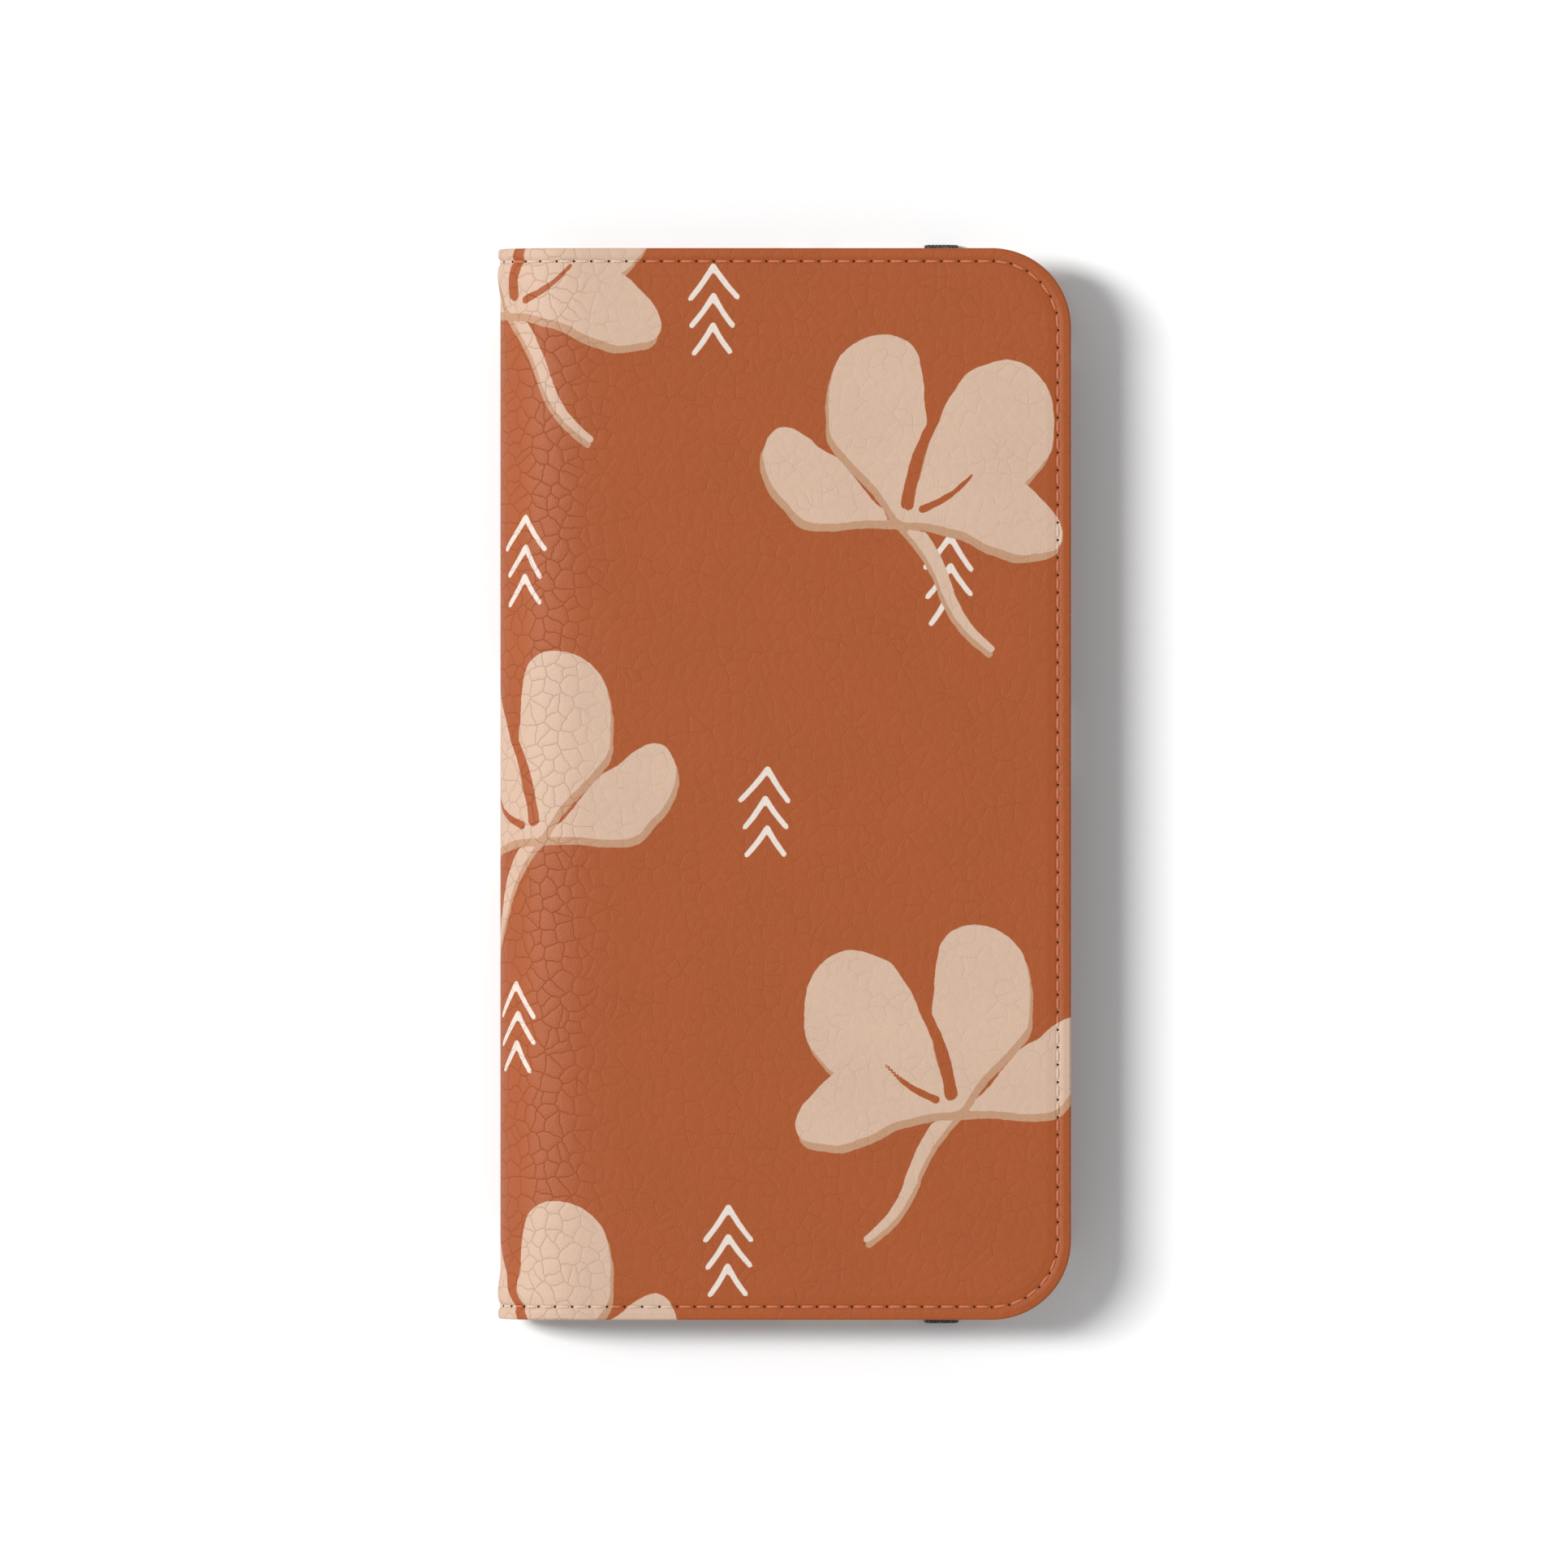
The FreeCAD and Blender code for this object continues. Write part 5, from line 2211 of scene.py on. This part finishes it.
@dataclass
class PhoneHolder:
    """The moulded shell, the foam pad that holds it and the boards inside the covers."""

    kit: FinishKit
    board: Fibrous = Fibrous("grey_board", colour(178, 166, 148), colour(142, 130, 113), 0.5, 0.06)
    foam: Fibrous = Fibrous("pad_foam", colour(48, 47, 48), colour(26, 26, 27), 0.25, 0.08)

    def build(self) -> None:
        """Dresses the CAD model's own shell, boards and pad."""
        plastic = SatinPlastic().build()
        board, foam = self.board.build(self.kit), self.foam.build(self.kit)
        for node, material in (("phone_shell", plastic), ("back_board", board),
                               ("front_board", board), ("adhesive_pad", foam)):
            part = frame["nodes"][node]
            part.data.materials.clear()
            part.data.materials.append(material)
            report(part)


@dataclass
class Closure:
    """The elastic that holds the case shut, and the bar tacks that hold the elastic."""

    kit: FinishKit
    run_level: float = 0.5
    passes: int = 9
    tack_lean: float = 0.12
    tack_margin: float = 0.1
    tack_level: float = 0.08
    tack_thread: float = 0.12

    def build(self) -> None:
        """Builds the elastic and its two tacks."""
        elastic = ClosureElastic().build(WovenElastic().build(self.kit))
        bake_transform(elastic)
        stand_for(elastic, "elastic", "elastic_strap")
        thread = SewingThread("tack_thread", ground=colour(60, 58, 60)).build(self.kit)
        for node in ("strap_tack_top", "strap_tack_bottom"):
            self._tack(node, thread)

    def _tack(self, node: str, thread: bpy.types.Material) -> None:
        """Builds one bar tack as a close zigzag of thread.

        Args:
            node: the CAD tack that it stands for.
            thread: the tack's material.
        """
        low, high = node_span(node)
        draft = MeshDraft()
        up = np.array([0.0, 0.0, 1.0])
        length, level = float(high[1] - low[1]), low[2] + self.tack_level
        stitch = StitchForm(length=length, radius=self.tack_thread, rise=0.06, dip=0.24)
        width = high[0] - low[0] - 2 * self.tack_margin
        for k in range(self.passes):
            x = low[0] + self.tack_margin + width * (k + 0.5) / self.passes
            lean = self.tack_lean if k % 2 else -self.tack_lean
            start, end = np.array([x - lean, low[1], level]), np.array([x + lean, high[1], level])
            straight_seam(draft, start, end, up, 2 * length, stitch)
        piece = draft.build(f"{node}_thread", [thread])
        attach(piece, "back_cover")
        stand_for(piece, "thread", node)


# ---- studio ----


@dataclass(frozen=True)
class Softbox:
    """One rectangular soft light, aimed at the middle of the case."""

    name: str
    elevation: float
    bearing: float
    width: float
    length: float
    power: float
    distance: float = 3.0
    gloss_only: bool = False

    def build(self) -> None:
        """Builds the light; the bearing is the way that its light travels, from +X towards +Y."""
        light = bpy.data.lights.new(self.name, "AREA")
        light.shape = "RECTANGLE"
        light.size, light.size_y = self.width, self.length
        light.energy = self.power
        lamp = bpy.data.objects.new(self.name, light)
        tilt, bearing = math.radians(90.0 - self.elevation), math.radians(self.bearing)
        lamp.rotation_euler = (0.0, -tilt, bearing)
        lamp.location = (-self.distance * math.sin(tilt) * math.cos(bearing),
                         -self.distance * math.sin(tilt) * math.sin(bearing),
                         self.distance * math.cos(tilt))
        lamp.visible_camera = False
        lamp.visible_diffuse = not self.gloss_only
        bpy.context.scene.collection.objects.link(lamp)


@dataclass(frozen=True)
class Studio:
    """White table, soft key light from the upper left and a camera straight above the case."""

    sizes: CaseSizes
    distance: float = 3.0
    field_width: float = 0.2311
    sky: float = 0.49
    table: float = 2.6
    lights: tuple[Softbox, ...] = (
        Softbox("key_softbox", 55.5, -14.5, 1.12, 0.5, 83.0),
        Softbox("edge_softbox", 34.0, -8.0, 0.9, 2.4, 14.0, gloss_only=True),
    )

    def build(self) -> None:
        """Builds the floor, the lights and the camera."""
        self._floor()
        self._lights()
        self._camera()

    def _floor(self) -> None:
        """Pale matt table top."""
        material, bench, shader = new_material("table_top")
        spot = bench.node("ShaderNodeTexCoord").outputs["Object"]
        cloud = bench.node("ShaderNodeTexNoise", {}, Vector=spot, Scale=6.0).outputs["Fac"]
        base = bench.mix(cloud, (0.885, 0.885, 0.885, 1.0), (0.9, 0.9, 0.9, 1.0))
        bench.tree.links.new(base, shader.inputs["Base Color"])
        shader.inputs["Roughness"].default_value = 0.9
        shader.inputs["Specular IOR Level"].default_value = 0.0
        mesh = bpy.data.meshes.new("table_top")
        half = self.table
        corners = [(-half, -half, 0), (half, -half, 0), (half, half, 0), (-half, half, 0)]
        mesh.from_pydata(corners, [], [(0, 1, 2, 3)])
        mesh.materials.append(material)
        floor = bpy.data.objects.new("table_top", mesh)
        floor.location = (0.0, 0.0, -0.00005)
        bpy.context.scene.collection.objects.link(floor)

    def _lights(self) -> None:
        """The soft lights and an even sky."""
        for light in self.lights:
            light.build()
        world = bpy.data.worlds.new("studio_sky")
        world.use_nodes = True
        background = next(n for n in world.node_tree.nodes if n.type == "BACKGROUND")
        background.inputs["Color"].default_value = (1.0, 1.0, 1.0, 1.0)
        background.inputs["Strength"].default_value = self.sky
        bpy.context.scene.world = world

    def _camera(self) -> None:
        """Camera above the front cover, at right angles to it."""
        data = bpy.data.cameras.new("overhead")
        data.sensor_width = 36.0
        data.lens = data.sensor_width * self.distance / self.field_width
        data.clip_start, data.clip_end = 0.1, 12.0
        camera = bpy.data.objects.new("overhead", data)
        camera.location = (0.0, 0.0, self.distance + self.sizes.height * METRE)
        bpy.context.scene.collection.objects.link(camera)
        bpy.context.scene.camera = camera
        bpy.context.scene.view_settings.view_transform = "Standard"


def main() -> None:
    """Builds the case's looks round the frame, then the studio."""
    logging.basicConfig(level=logging.INFO, format="%(name)s: %(message)s")
    sizes = CaseSizes.from_frame()
    section = CoverSection(sizes)
    kit = FinishKit()
    WrapCover(sizes, section, kit).build()
    Pockets(kit).build()
    PhoneHolder(kit).build()
    Closure(kit).build()
    Studio(sizes).build()


if __name__ == "__main__":
    main()
